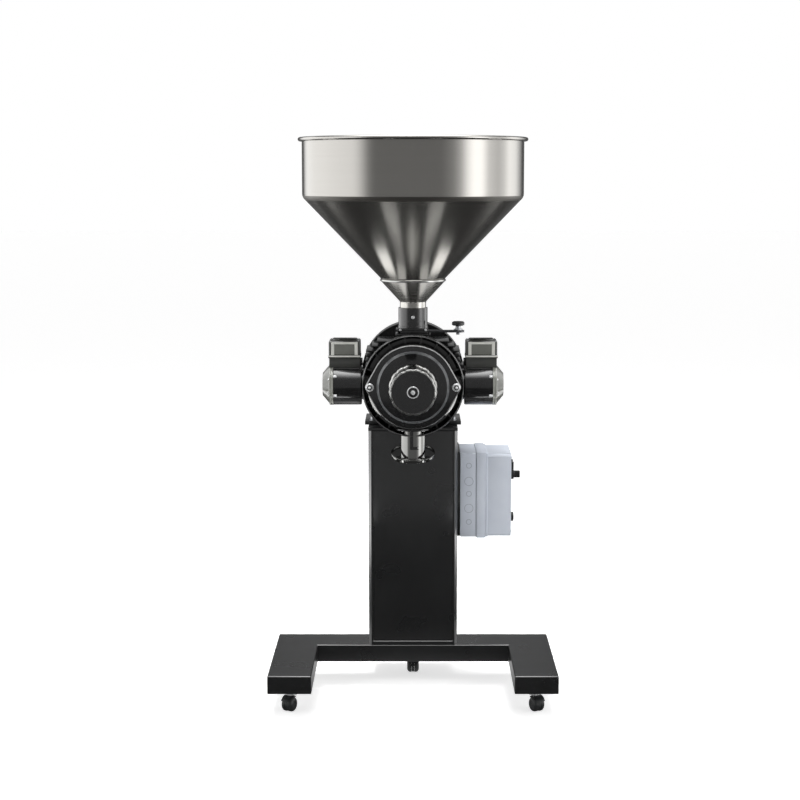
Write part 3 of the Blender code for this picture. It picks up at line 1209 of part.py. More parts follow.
def side_motor(name, side):
    # A small motor whose axis lies along X, with its terminal box on top
    out = side * X_AXIS
    centre = (0, SIDE_Y, axis_z)
    start = SIDE_START
    seam = SIDE_SEAM
    wall = SIDE_WALL
    boss = SIDE_SHAFT_RADIUS + RUN_GAP
    stator_in = SIDE_ROTOR_RADIUS + 0.0012
    body = turned([(0, start), (SIDE_RADIUS - 0.003, start), (SIDE_RADIUS, start + 0.003),
                   (SIDE_RADIUS, seam), (stator_in, seam), (stator_in, start + 0.018), (boss, start + 0.018),
                   (boss, start + 0.006), (0, start + 0.006)], MEDIUM, out, centre)
    node("side_motor_housing_" + name, body, black_enamel())
    rim = SIDE_CAP_RIM
    end = SIDE_END
    low = seam + GAP
    cap = turned([(0, end), (SIDE_CAP_FLAT, end), (SIDE_CAP_FLAT + 0.012, rim + 0.008),
                  (SIDE_RADIUS - 0.004, rim), (SIDE_RADIUS, rim - 0.001), (SIDE_RADIUS, low),
                  (SIDE_RADIUS - wall, low), (SIDE_RADIUS - wall, rim - wall), (boss, rim - wall),
                  (boss, rim - 0.002), (0, rim - 0.002)],
                 MEDIUM, out, centre)
    node("side_motor_cap_" + name, cap, black_enamel())
    rotor = turned([(0, start + 0.007), (SIDE_SHAFT_RADIUS, start + 0.007),
                    (SIDE_SHAFT_RADIUS, start + 0.022), (SIDE_ROTOR_RADIUS, start + 0.022),
                    (SIDE_ROTOR_RADIUS, seam - 0.006), (SIDE_SHAFT_RADIUS, seam - 0.006),
                    (SIDE_SHAFT_RADIUS, rim - 0.004), (0, rim - 0.004)], COARSE, out, centre)
    node("side_motor_rotor_" + name, rotor, machined_steel(), origin=centre)

    # Terminal box: a base shaped to the housing, and a lid with a flange
    half = SIDE_BOX_DEPTH / 2
    inner, outer = sorted((side * SIDE_BOX_START, side * SIDE_BOX_END))
    foot = axis_z + SIDE_BOX_FOOT
    parting = axis_z + SIDE_BOX_SEAM
    top = axis_z + SIDE_BOX_TOP
    inset = 0.002
    base = node("terminal_base_" + name,
                block((inner + inset, SIDE_Y - half + inset, foot),
                      (outer - inset, SIDE_Y + half - inset, parting - GAP)),
                black_enamel())
    cut(base,
        rod(SIDE_RADIUS + GAP * 2, start - 0.02, end + 0.02, out, centre, MEDIUM),
        block((inner + 0.006, SIDE_Y - half + 0.006, axis_z + SIDE_RADIUS + 0.004),
              (outer - 0.006, SIDE_Y + half - 0.006, parting + 0.01)))
    inset = 0.001
    lid = node("terminal_lid_" + name,
               block((inner + inset, SIDE_Y - half + inset, parting),
                     (outer - inset, SIDE_Y + half - inset, top), 0.006),
               black_enamel())
    unite(lid, block((inner, SIDE_Y - half, parting), (outer, SIDE_Y + half, parting + 0.008)))
    cut(lid, block((inner + 0.005, SIDE_Y - half + 0.005, parting - 0.01),
                   (outer - 0.005, SIDE_Y + half - 0.005, top - 0.004)))


def controls():
    x0 = COLUMN_WIDTH / 2 + GAP
    x1 = x0 + BRACKET_SHEET
    y0 = ENCLOSURE_FRONT
    y1 = y0 + ENCLOSURE_WIDTH
    z0 = ENCLOSURE_BOTTOM
    z1 = z0 + ENCLOSURE_HEIGHT
    node("control_bracket", block((x0, y0 + 0.006, z0 + 0.004), (x1, y1, z1 + 0.002), 0.001),
         black_powder_coat())

    # Box: a body and a proud band where the lid sits
    wall = ENCLOSURE_WALL
    b0 = x1 + GAP
    b1 = b0 + BASE_DEPTH
    b2 = b1 + BAND_DEPTH
    box = node("control_box", block((b0, y0 + BAND_PROUD, z0 + BAND_PROUD),
                                    (b2 - 0.002, y1 - BAND_PROUD, z1 - BAND_PROUD), 0.0015), grey_plastic())
    unite(box, block((b1, y0, z0), (b2, y1, z1), 0.001))
    cut(box, block((b0 + wall, y0 + BAND_PROUD + wall, z0 + BAND_PROUD + wall),
                   (b2 + 0.01, y1 - BAND_PROUD - wall, z1 - BAND_PROUD - wall)))

    lid_in = b2 + GAP
    lid_out = lid_in + LID_DEPTH
    inset = LID_INSET
    shape = block((lid_in, y0 + inset, z0 + inset), (lid_out, y1 - inset, z1 - inset))
    outer_edges = [edge for edge in shape.edges if any(vert.co.x > lid_in + 0.01 for vert in edge.verts)]
    bmesh.ops.bevel(shape, geom=outer_edges, offset=LID_EDGE, segments=2, affect="EDGES",
                    profile=0.5, material=-1)
    lid = node("control_lid", shape, grey_plastic())
    holes = [rod(SPINDLE_HOLE, lid_out - 0.02, lid_out + 0.01, X_AXIS, (0, SWITCH_Y, SWITCH_KNOB_Z), SMALL),
             rod(BUTTON_HOLE, lid_out - 0.02, lid_out + 0.01, X_AXIS, (0, SWITCH_Y, BUTTON_Z), COARSE)]
    cut(lid, block((lid_in - 0.01, y0 + inset + wall, z0 + inset + wall),
                   (lid_out - wall, y1 - inset - wall, z1 - inset - wall)), *holes)

    # Rotary switch on its plate, and a push button in its collar
    plate_in = lid_out + GAP
    plate_out = plate_in + SWITCH_PLATE_SHEET
    half = SWITCH_PLATE_SIZE / 2
    plate = block((plate_in, SWITCH_Y - half, SWITCH_PLATE_BOTTOM),
                  (plate_out, SWITCH_Y + half, SWITCH_PLATE_BOTTOM + SWITCH_PLATE_SIZE), 0.001)
    collar_end = plate_in + BUTTON_COLLAR
    collar = turned([(BUTTON_RADIUS + RUN_GAP, plate_in), (BUTTON_COLLAR_RADIUS, plate_in),
                     (BUTTON_COLLAR_RADIUS, collar_end - 0.001), (BUTTON_COLLAR_RADIUS - 0.001, collar_end),
                     (BUTTON_RADIUS + RUN_GAP, collar_end)], COARSE, X_AXIS, (0, SWITCH_Y, BUTTON_Z))
    node("button_collar", collar, black_plastic())
    plate_hole = rod(SPINDLE_HOLE, plate_in - 0.01, plate_out + 0.01, X_AXIS,
                     (0, SWITCH_Y, SWITCH_KNOB_Z), SMALL)
    cut(node("switch_plate", plate, black_plastic()), plate_hole)
    knob_in = plate_out + GAP
    knob_out = knob_in + SWITCH_KNOB_LENGTH
    pivot = (0, SWITCH_Y, SWITCH_KNOB_Z)
    knob = node("switch_knob",
                turned([(0, lid_out - 0.012), (0.004, lid_out - 0.012), (0.004, knob_in),
                        (SWITCH_KNOB_RADIUS, knob_in), (SWITCH_KNOB_RADIUS, knob_in + 0.009),
                        (SWITCH_KNOB_RADIUS - 0.001, knob_in + 0.010), (0, knob_in + 0.010)],
                       COARSE, X_AXIS, pivot), black_plastic(), origin=(knob_in, SWITCH_Y, SWITCH_KNOB_Z))
    grip = block((knob_in + 0.008, SWITCH_Y - 0.0045, SWITCH_KNOB_Z - SWITCH_KNOB_RADIUS),
                 (knob_out, SWITCH_Y + 0.0045, SWITCH_KNOB_Z + SWITCH_KNOB_RADIUS), 0.0012)
    unite(knob, grip)
    face = collar_end + BUTTON_PROUD
    node("push_button",
         turned([(0, lid_out - 0.014), (0.005, lid_out - 0.014), (0.005, plate_in + 0.0035),
                 (BUTTON_RADIUS, plate_in + 0.0035), (BUTTON_RADIUS, face - 0.001),
                 (BUTTON_RADIUS - 0.001, face), (0, face)], COARSE, X_AXIS, (0, SWITCH_Y, BUTTON_Z)),
         paint("green_plastic", (0.02, 0.16, 0.06), 0.35, 0.0), origin=(plate_in, SWITCH_Y, BUTTON_Z))


def build():
    for item in list(bpy.data.objects):
        bpy.data.objects.remove(item, do_unlink=True)
    base_frame()
    caster("left", -leg_x, CASTER_INSET - BASE_REACH, -WHEEL_TOE)
    caster("right", leg_x, CASTER_INSET - BASE_REACH, WHEEL_TOE)
    caster("rear", 0.0, REAR_CASTER_Y, 0.0)
    column()
    motor_frame()
    motor_ends()
    shaft = motor_insides()
    motor_terminals()
    chamber()
    door()
    setting()
    discs(shaft)
    inlet()
    hopper()
    outlet()
    side_motor("left", -1)
    side_motor("right", 1)
    controls()


build()
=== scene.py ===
import math
import bmesh
import bpy
from mathutils import Matrix, Vector


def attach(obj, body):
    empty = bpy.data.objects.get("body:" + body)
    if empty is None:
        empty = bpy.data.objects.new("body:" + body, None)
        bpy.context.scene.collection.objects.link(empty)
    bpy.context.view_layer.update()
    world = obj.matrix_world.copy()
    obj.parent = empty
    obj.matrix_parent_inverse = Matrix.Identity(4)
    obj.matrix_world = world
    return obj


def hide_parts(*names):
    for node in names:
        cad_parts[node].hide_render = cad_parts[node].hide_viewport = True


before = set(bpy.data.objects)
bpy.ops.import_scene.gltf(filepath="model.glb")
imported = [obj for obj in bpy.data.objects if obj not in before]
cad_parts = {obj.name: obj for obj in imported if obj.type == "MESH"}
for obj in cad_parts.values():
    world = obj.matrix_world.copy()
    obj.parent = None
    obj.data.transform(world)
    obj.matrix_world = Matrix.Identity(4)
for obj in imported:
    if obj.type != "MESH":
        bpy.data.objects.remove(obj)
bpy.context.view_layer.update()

xAxis = Vector((1, 0, 0))
yAxis = Vector((0, 1, 0))
zAxis = Vector((0, 0, 1))
headZ = 0.866
headCentre = (0, 0, headZ)


# Materials

def colour(text):
    channels = [int(text[i:i + 2], 16) / 255 for i in (1, 3, 5)]
    return tuple(c / 12.92 if c <= 0.04045 else ((c + 0.055) / 1.055) ** 2.4 for c in channels) + (1,)


def addNode(tree, kind, values=None, links=None):
    node = tree.nodes.new(kind)
    for key, value in (values or {}).items():
        if isinstance(key, int) or key in node.inputs:
            node.inputs[key].default_value = value
        else:
            setattr(node, key, value)
    for key, socket in (links or {}).items():
        tree.links.new(socket, node.inputs[key])
    return node


def newMaterial(name, shade, values):
    made = bpy.data.materials.new(name)
    made.use_nodes = True
    shader = made.node_tree.nodes["Principled BSDF"]
    shader.inputs["Base Color"].default_value = colour(shade)
    for key, value in values.items():
        shader.inputs[key].default_value = value
    made.diffuse_color = colour(shade)
    return made, made.node_tree, shader


def surfaceNoise(tree, size, stretch=(1, 1, 1), detail=2.0):
    # Noise whose blotches are about size metres across, in the piece's own coordinates
    place = addNode(tree, "ShaderNodeTexCoord")
    mapped = addNode(tree, "ShaderNodeMapping", {"Scale": stretch}, {"Vector": place.outputs["Object"]})
    return addNode(tree, "ShaderNodeTexNoise", {"Scale": 1 / size, "Detail": detail},
                   {"Vector": mapped.outputs["Vector"]})


def varied(tree, shader, socket, noise, low, high):
    spread = addNode(tree, "ShaderNodeMapRange",
                     {"From Min": 0.3, "From Max": 0.7, "To Min": low, "To Max": high},
                     {"Value": noise.outputs["Fac"]})
    tree.links.new(spread.outputs["Result"], shader.inputs[socket])


def tinted(tree, shader, noise, first, second):
    ramp = addNode(tree, "ShaderNodeValToRGB", {}, {"Fac": noise.outputs["Fac"]})
    ramp.color_ramp.elements[0].position = 0.3
    ramp.color_ramp.elements[0].color = colour(first)
    ramp.color_ramp.elements[1].position = 0.7
    ramp.color_ramp.elements[1].color = colour(second)
    tree.links.new(ramp.outputs["Color"], shader.inputs["Base Color"])


def roughened(tree, shader, noise, strength, depth):
    bump = addNode(tree, "ShaderNodeBump", {"Strength": strength, "Distance": depth},
                   {"Height": noise.outputs["Fac"]})
    tree.links.new(bump.outputs["Normal"], shader.inputs["Normal"])


def powderCoat():
    # Baked powder: a fine orange peel that breaks the sheen, a little uneven over a hand's width
    made, tree, shader = newMaterial("blackPowderCoat", "#151617", {"Coat Weight": 0.5, "Coat Roughness": 0.16,
                                                                    "Specular IOR Level": 0.75})
    broad = surfaceNoise(tree, 0.12)
    tinted(tree, shader, broad, "#121314", "#171819")
    varied(tree, shader, "Roughness", broad, 0.26, 0.32)
    roughened(tree, shader, surfaceNoise(tree, 0.0014), 0.12, 0.0002)
    return made


def enamel(name, first, second, low, high):
    # Sprayed enamel over a casting: glossy, with the slow waves of the cast skin below it
    made, tree, shader = newMaterial(name, first, {"Coat Weight": 0.8, "Coat Roughness": 0.10})
    broad = surfaceNoise(tree, 0.05)
    tinted(tree, shader, broad, first, second)
    varied(tree, shader, "Roughness", broad, low, high)
    roughened(tree, shader, surfaceNoise(tree, 0.006), 0.04, 0.0003)
    return made


def spunSteel(name, first, second, low, high, lines):
    # Stainless sheet spun on a lathe: fine rings round the axis that draw highlights out lengthwise
    made, tree, shader = newMaterial(name, first, {"Metallic": 1, "Anisotropic": 0.55,
                                                   "Anisotropic Rotation": 0.25})
    rings = surfaceNoise(tree, 0.5, (1, 1, lines), 4.0)
    tinted(tree, shader, rings, first, second)
    varied(tree, shader, "Roughness", rings, low, high)
    roughened(tree, shader, rings, 0.02, 0.0001)
    tangent = addNode(tree, "ShaderNodeTangent", {"direction_type": "RADIAL", "axis": "Z"})
    tree.links.new(tangent.outputs["Tangent"], shader.inputs["Tangent"])
    return made


def brightMetal(name, first, second, low, high, grain):
    # Metal that was polished or plated: only faint cloudiness and grain are left
    made, tree, shader = newMaterial(name, first, {"Metallic": 1})
    cloud = surfaceNoise(tree, grain * 12)
    tinted(tree, shader, cloud, first, second)
    varied(tree, shader, "Roughness", cloud, low, high)
    roughened(tree, shader, surfaceNoise(tree, grain), 0.06, 0.0001)
    return made


def plated(name, first, second, low, high, grain):
    # Zinc plating: its fine crystals scatter about half of the light, so a head stays bright seen from the front
    made, tree, shader = newMaterial(name, first, {"Metallic": 0.45})
    cloud = surfaceNoise(tree, grain * 12)
    tinted(tree, shader, cloud, first, second)
    varied(tree, shader, "Roughness", cloud, low, high)
    return made


def moulded(name, first, second, low, high, grain):
    # Moulded plastic with the fine spark-eroded grain of its tool
    made, tree, shader = newMaterial(name, first, {})
    broad = surfaceNoise(tree, 0.06)
    tinted(tree, shader, broad, first, second)
    varied(tree, shader, "Roughness", broad, low, high)
    roughened(tree, shader, surfaceNoise(tree, grain), 0.15, 0.0002)
    return made


blackCoat = powderCoat()
blackEnamel = enamel("blackEnamel", "#0e0e0f", "#131314", 0.22, 0.28)
castPaint = enamel("paintedCasting", "#191a1b", "#212223", 0.30, 0.38)
boxPaint = enamel("boxPaint", "#31322f", "#393a37", 0.36, 0.44)
capPaint = enamel("capPaint", "#5c5d57", "#65665f", 0.30, 0.38)
flangePaint = enamel("flangePaint", "#989992", "#a1a29b", 0.26, 0.34)
# Near-white paint for the strips below the door's ears, a painted highlight of the chamfer
chamferHighlightPaint = enamel("chamferHighlightPaint", "#ececea", "#f2f2f0", 0.30, 0.38)
satinBand = enamel("satinBand", "#505254", "#585a5c", 0.42, 0.50)
panelPaint = enamel("panelPaint", "#5f605a", "#676862", 0.42, 0.50)
frameTrim = enamel("frameTrim", "#c6c6c0", "#cecec8", 0.36, 0.44)
bowlSteel = spunSteel("brushedStainless", "#9f9d99", "#a3a19d", 0.17, 0.20, 900)
seamSteel = spunSteel("brushedSeam", "#6b6965", "#716f6b", 0.44, 0.50, 700)
# The cone's steel is a darker copy of the bowl's, painted shade for its downward slope
paintedShadeConeSteel = spunSteel("spunConePaintedShade", "#8d8c87", "#918f8b", 0.20, 0.23, 700)
funnelSteel = spunSteel("spunFunnel", "#b2b1ac", "#bab8b4", 0.24, 0.28, 500)
turnedKnob = brightMetal("turnedKnob", "#b0b0ae", "#b8b8b6", 0.24, 0.32, 0.0010)
polished = brightMetal("polishedStainless", "#a4a4a2", "#aaaaa8", 0.08, 0.14, 0.0015)
darkSteel = brightMetal("darkSteel", "#4c4d4f", "#565759", 0.30, 0.38, 0.0010)
polishedTube = brightMetal("polishedTube", "#848482", "#8a8a88", 0.08, 0.13, 0.0015)
ringSteel = brightMetal("ringSteel", "#5e5e5d", "#646463", 0.10, 0.16, 0.0015)
machined = brightMetal("machinedSteel", "#949494", "#9c9c9c", 0.26, 0.36, 0.0008)
zinc = brightMetal("zincPlate", "#a3a5a9", "#abadb0", 0.30, 0.38, 0.0010)
brightZinc = plated("brightZinc", "#e2e3e4", "#eaebec", 0.22, 0.30, 0.0010)
copper = brightMetal("copperWinding", "#b5673a", "#c47a4a", 0.35, 0.45, 0.0010)
rubber = moulded("wheelRubber", "#242627", "#2b2d2e", 0.40, 0.50, 0.0010)
blackPlastic = moulded("blackPlastic", "#161617", "#1b1b1c", 0.28, 0.36, 0.0010)
# A darker grey: painted shade of the knockout rings' relief, and the dark joint line between the box's body and
# band
jointAndPaintedShadeGrey = moulded("jointAndPaintedShadeGrey", "#9fa6b0", "#a7adb7", 0.45, 0.55, 0.0011)
greyPlastic = moulded("greyPlastic", "#c9cfda", "#cfd5df", 0.40, 0.50, 0.0011)
greenPlastic = moulded("greenPlastic", "#113a21", "#154427", 0.25, 0.32, 0.0010)
print("materials made")


# Shape tools

def arc(radius, start, end, count, centre=(0, 0)):
    return [(centre[0] + radius * math.cos(start + (end - start) * i / count),
             centre[1] + radius * math.sin(start + (end - start) * i / count)) for i in range(count + 1)]


def softened(corners, steps=4):
    # A corner given with a third number is rounded to that radius
    points = []
    for i, corner in enumerate(corners):
        here = Vector(corner[:2])
        if len(corner) == 2:
            points.append(tuple(here))
            continue
        before = (Vector(corners[i - 1][:2]) - here).normalized()
        after = (Vector(corners[(i + 1) % len(corners)][:2]) - here).normalized()
        half = before.angle(after) / 2
        centre = here + (before + after).normalized() * corner[2] / math.sin(half)
        start = here + before * corner[2] / math.tan(half) - centre
        end = here + after * corner[2] / math.tan(half) - centre
        sweep = start.angle(end) * (1 if start.x * end.y - start.y * end.x > 0 else -1)
        for step in range(steps + 1):
            angle = sweep * step / steps
            points.append((centre.x + start.x * math.cos(angle) - start.y * math.sin(angle),
                           centre.y + start.x * math.sin(angle) + start.y * math.cos(angle)))
    return points


def settle(shape, axis, centre):
    turn = zAxis.rotation_difference(Vector(axis)).to_matrix()
    bmesh.ops.rotate(shape, verts=shape.verts, cent=(0, 0, 0), matrix=turn)
    bmesh.ops.translate(shape, verts=shape.verts, vec=centre)
    bmesh.ops.recalc_face_normals(shape, faces=shape.faces)
    return shape


def turned(profile, axis=zAxis, centre=(0, 0, 0), steps=96):
    # Spins (radius, height) points; a profile clear of the axis is closed into a ring
    shape = bmesh.new()
    verts = [shape.verts.new((r, 0, h)) for r, h in profile]
    for pair in zip(verts, verts[1:]):
        shape.edges.new(pair)
    if profile[0][0] > 0 or profile[-1][0] > 0:
        shape.edges.new((verts[-1], verts[0]))
    bmesh.ops.spin(shape, geom=shape.verts[:] + shape.edges[:], cent=(0, 0, 0), axis=zAxis,
                   angle=2 * math.pi, steps=steps, use_merge=True)
    bmesh.ops.remove_doubles(shape, verts=shape.verts, dist=1e-6)
    return settle(shape, axis, centre)


def rod(radius, start, end, axis=zAxis, centre=(0, 0, 0), edge=0.0005, steps=32):
    profile = [(0, start), (radius, start, edge), (radius, end, edge), (0, end)]
    return turned(softened(profile, 3), axis, centre, steps)


def sharpEdges(shape, limit=30):
    return [edge for edge in shape.edges if edge.calc_face_angle(0) > math.radians(limit)]


def rounded(shape, edges, radius, segments=3, profile=0.5):
    bmesh.ops.bevel(shape, geom=edges, offset=radius, segments=segments, affect="EDGES", profile=profile,
                    material=-1, clamp_overlap=True)
    bmesh.ops.recalc_face_normals(shape, faces=shape.faces)
    return shape


def extruded(outline, start, end, axis="Z", edge=0, segments=3, limit=30):
    # Extrudes (x, y) along Z, (x, z) along Y or (y, z) along X, then rounds its sharp edges
    point = {"Z": lambda a, b, h: (a, b, h), "Y": lambda a, b, h: (a, h, b),
             "X": lambda a, b, h: (h, a, b)}[axis]
    shape = bmesh.new()
    face = shape.faces.new([shape.verts.new(point(a, b, start)) for a, b in outline])
    made = bmesh.ops.extrude_face_region(shape, geom=[face])
    moved = [item for item in made["geom"] if isinstance(item, bmesh.types.BMVert)]
    bmesh.ops.translate(shape, verts=moved, vec=Vector(point(0, 0, end)) - Vector(point(0, 0, start)))
    bmesh.ops.recalc_face_normals(shape, faces=shape.faces)
    if edge:
        rounded(shape, sharpEdges(shape, limit), edge, segments)
    return shape


def block(low, high, edge=0.001, segments=3):
    shape = bmesh.new()
    bmesh.ops.create_cube(shape, size=1)
    bmesh.ops.scale(shape, verts=shape.verts, vec=Vector(high) - Vector(low))
    bmesh.ops.translate(shape, verts=shape.verts, vec=(Vector(high) + Vector(low)) / 2)
    return rounded(shape, shape.edges[:], edge, segments)


def moved(shape, matrix):
    bmesh.ops.transform(shape, verts=shape.verts, matrix=matrix)
    bmesh.ops.recalc_face_normals(shape, faces=shape.faces)
    return shape


def bridge(shape, near, far):
    # Faces between two rings of as many points
    for a in range(len(near)):
        b = (a + 1) % len(near)
        shape.faces.new((near[a], near[b], far[b], far[a]))


def between(first, last, count):
    return [(first[0] + (last[0] - first[0]) * i / count, first[1] + (last[1] - first[1]) * i / count)
            for i in range(count + 1)]


def around(shape, angle, axis, centre):
    place = Matrix.Translation(centre) @ Matrix.Rotation(angle, 4, axis) @ Matrix.Translation(-Vector(centre))
    return moved(shape, place)


def piece(name, parts, body, replaced=(), limit=28):
    # Joins the parts, each with its material, into one piece that moves with its body
    whole = bmesh.new()
    used = []
    for shape, material in parts:
        if material not in used:
            used.append(material)
        for face in shape.faces:
            face.material_index = used.index(material)
        mesh = bpy.data.meshes.new("part")
        shape.to_mesh(mesh)
        shape.free()
        whole.from_mesh(mesh)
        bpy.data.meshes.remove(mesh)
    for face in whole.faces:
        face.smooth = True
    for edge in sharpEdges(whole, limit):
        edge.smooth = False
    mesh = bpy.data.meshes.new(name)
    whole.to_mesh(mesh)
    whole.free()
    for material in used:
        mesh.materials.append(material)
    made = bpy.data.objects.new(name, mesh)
    bpy.context.scene.collection.objects.link(made)
    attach(made, body)
    if replaced:
        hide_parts(*replaced)
    return made


def hexBolt(flats, low, high, axis, centre, washer=0):
    # A bolt or nut seen from outside: hexagon with its turned chamfer, and a washer below it
    head = extruded(arc(flats / math.sqrt(3), 0, 2 * math.pi, 6)[:-1], low, high, "Z", 0.0006, 2)
    parts = [settle(head, axis, centre)]
    if washer:
        parts.append(rod(washer, low - 0.0016, low, axis, centre, 0.0004))
    return parts


def screwHead(radius, start, height, axis, centre):
    # Pan head with a round driver recess
    profile = [(0, start + height * 0.45), (radius * 0.42, start + height * 0.45),
               (radius * 0.46, start + height), (radius * 0.80, start + height * 0.86),
               (radius, start + height * 0.40), (radius, start), (0, start)]
    return turned(profile, axis, centre, 24)


# Base and casters
base = {"low": 0.065, "high": 0.114, "topEdge": 0.0050, "lowEdge": 0.0016, "frontCorner": 0.0026}


def makeBase():
    corner = base["frontCorner"]
    outline = [(-0.3885, -0.308, corner), (-0.271, -0.308, corner), (-0.271, 0), (0.271, 0),
               (0.271, -0.308, corner), (0.3885, -0.308, corner), (0.3885, 0.1175, corner), (0.125, 0.1175),
               (0.125, 0.224, corner), (-0.125, 0.224, corner), (-0.125, 0.1175), (-0.3885, 0.1175, corner)]
    tubes = extruded(softened(outline), base["low"], base["high"])
    # The upper edge is nearly a flat slope, which draws a bright line
    for height, width, bend in ((base["high"], base["topEdge"], 0.33), (base["low"], base["lowEdge"], 0.5)):
        loop = [side for side in tubes.edges if all(abs(vert.co.z - height) < 1e-6 for vert in side.verts)]
        rounded(tubes, loop, width, 4, bend)
    piece("baseFrame", [(tubes, blackCoat)], "frame",
          ("base_crossbar", "base_leg_left", "base_leg_right"))


caster = {"wheelRadius": 0.020, "wheelWidth": 0.0135, "trail": 0.010, "web": 0.008, "webRadius": 0.0193,
          "hoodMargin": 0.0015, "hoodSheet": 0.0018, "toe": 25}


def makeCaster(name, x, y, toe):
    radius = caster["wheelRadius"]
    web = radius + caster["hoodMargin"]
    crown = 0.0604
    stem = softened([(0, 0.0465), (0.0035, 0.0465), (0.0035, 0.0607), (0.012, 0.0607, 0.0008),
                     (0.012, 0.0647, 0.0008), (0.005, 0.0647), (0.005, 0.0767), (0, 0.0767)], 3)
    piece("casterStem_" + name, [(turned(stem, zAxis, (x, y, 0), 40), zinc)], "frame",
          ("caster_stem_" + name,))

    # The hood's cap is a curved plate over both wheels, on a web between them
    centre = (-caster["trail"], radius)
    outline = arc(caster["webRadius"], math.pi * 1.5, math.pi / 2 + 0.45, 24, centre)
    outline += [(-0.0075, crown - 0.0005), (0.0075, crown - 0.0005), (0.010, radius + 0.010)]
    outline += arc(caster["webRadius"], 0, -math.pi * 0.45, 12, centre)
    half = caster["web"] / 2
    plate = arc(web + caster["hoodSheet"], math.pi * 0.84, math.pi * 0.30, 24, centre)
    plate += arc(web, math.pi * 0.30, math.pi * 0.84, 24, centre)
    wide = caster["wheelWidth"] + half - 0.0025
    parts = [extruded(outline, -half, half, "X", 0.0008, 2), extruded(plate, -wide, wide, "X", 0.0009, 3)]
    place = Matrix.Translation((x, y, 0)) @ Matrix.Rotation(math.radians(toe), 4, "Z")
    parts = [(moved(shape, place), rubber) for shape in parts]
    parts.append((rod(0.0175, web + radius + 0.0022, crown, zAxis, (x, y, 0), 0.0030, 48), brightZinc))
    piece("casterHood_" + name, parts, "caster_" + name, ("caster_hood_" + name,))

    # Domed wheels with a hub cap set in their outer faces
    inner = half + 0.0003
    outer = inner + caster["wheelWidth"]
    side = [(0, outer - 0.0012), (0.0060, outer - 0.0012), (0.0066, outer - 0.0022), (0.0072, outer - 0.0010),
            (0.0090, outer - 0.0006)]
    for step in range(1, 9):
        turn = step * math.pi / 16
        side.append((0.0090 + 0.0110 * math.sin(turn), outer - 0.0006 - 0.0086 * (1 - math.cos(turn))))
    side += [(radius, inner + 0.0003), (radius - 0.0003, inner), (0.003, inner)]
    spool = side + [(r, -h) for r, h in reversed(side)]
    roll = place.to_3x3() @ xAxis
    axle = place @ Vector((0, -caster["trail"], radius))
    piece("casterWheel_" + name, [(turned(spool, roll, axle, 64), rubber)], "wheel_" + name,
          ("caster_wheel_" + name,))


makeBase()
makeCaster("left", -0.32975, -0.238, -caster["toe"])
makeCaster("right", 0.32975, -0.238, caster["toe"])
makeCaster("rear", 0, 0.130, 0)
print("base and casters made")


# Column
column = {"corner": 0.0125, "coverHalf": 0.1120, "slopeWide": 0.0078, "slopeDeep": 0.0125}


def makeColumn():
    edge = column["coverHalf"] + 0.0003
    corner = column["corner"]
    wide = 0.125 - column["slopeWide"]
    deep = column["slopeDeep"]
    outline = [(-0.125, deep, 0.004), (-wide, 0, 0.0025), (-edge, 0), (-edge, 0.006), (edge, 0.006), (edge, 0),
               (wide, 0, 0.0025), (0.125, deep, 0.004), (0.125, 0.224, corner), (-0.125, 0.224, corner)]
    shell = extruded(softened(outline, 8), 0.1143, 0.7281)
    sill = extruded([(0.006, 0.1146), (0.0003, 0.1146), (0.0003, 0.1238), (0.0038, 0.1280), (0.006, 0.1280)],
                    -edge, edge, "X")
    plate = block((-0.1253, -0.0003, 0.728), (0.1253, 0.2243, 0.736), 0.0012)
    piece("columnShell", [(shell, blackCoat), (sill, blackCoat), (plate, blackCoat)], "frame",
          ("column_shell",))
    half = column["coverHalf"]
    cover = block((-half, 0, 0.1283), (half, 0.002, 0.7277), 0.0009)
    piece("columnCover", [(cover, blackCoat)], "frame", ("column_cover",))


makeColumn()
print("column made")


# Drive motor
motor = {"start": 0.065, "end": 0.225, "radius": 0.118, "finTip": 0.136, "finThickness": 0.003,
         "finPitch": 0.0135, "crownFins": 7, "crownPitch": 7.0, "sideReach": 0.134, "cowlRadius": 0.149,
         "cowlSheet": 0.002, "shieldRibs": 12}


def makeMotorBody():
    start = motor["start"]
    end = motor["end"]
    radius = motor["radius"]
    half = motor["finThickness"] / 2
    barrel = [(0.102, start), (radius, start, 0.0008), (radius, end, 0.0008), (0.102, end)]
    parts = [turned(softened(barrel, 3), yAxis, headCentre, 128)]
    for i in range(motor["crownFins"]):
        fin = block((-half, start, radius - 0.002), (half, end, motor["finTip"]), 0.0009, 2)
        moved(fin, Matrix.Translation(headCentre))
        angle = math.radians(motor["crownPitch"]) * (i - (motor["crownFins"] - 1) / 2)
        parts.append(around(fin, angle, "Y", headCentre))
    first = radius * 0.90
    for i in range(int(first * 1.45 / motor["finPitch"])):
        height = first - i * motor["finPitch"]
        root = math.sqrt(radius ** 2 - (abs(height) + half) ** 2) - 0.002
        tip = min(motor["sideReach"], motor["sideReach"] * 0.76 + (first - height) * 1.15)
        for side in (-1, 1):
            ends = sorted((side * root, side * tip))
            parts.append(block((ends[0], start, headZ + height - half), (ends[1], end, headZ + height + half),
                               0.0009, 2))
    # Feet with their sloped webs
    foot = [(0.074, 0.7741), (0.088, 0.800), (0.1142, 0.8257, 0.004), (0.1142, 0.7463, 0.003),
            (0.136, 0.7463, 0.0015), (0.136, 0.7363), (0.084, 0.7363), (0.084, 0.7463, 0.002)]
    for side in (-1, 1):
        outline = [(side * point[0], *point[1:]) for point in foot]
        parts.append(extruded(softened(outline, 3), start, end, "Y", 0.0012, 2))
    bolts = []
    for x in (-0.112, 0.112):
        for y in (0.089, 0.201):
            bolts += hexBolt(0.015, 0.7479, 0.7545, zAxis, (x, y, 0), 0.0115)
    piece("motorFrame", [(shape, castPaint) for shape in parts] + [(shape, zinc) for shape in bolts], "frame",
          ("motor_body",))


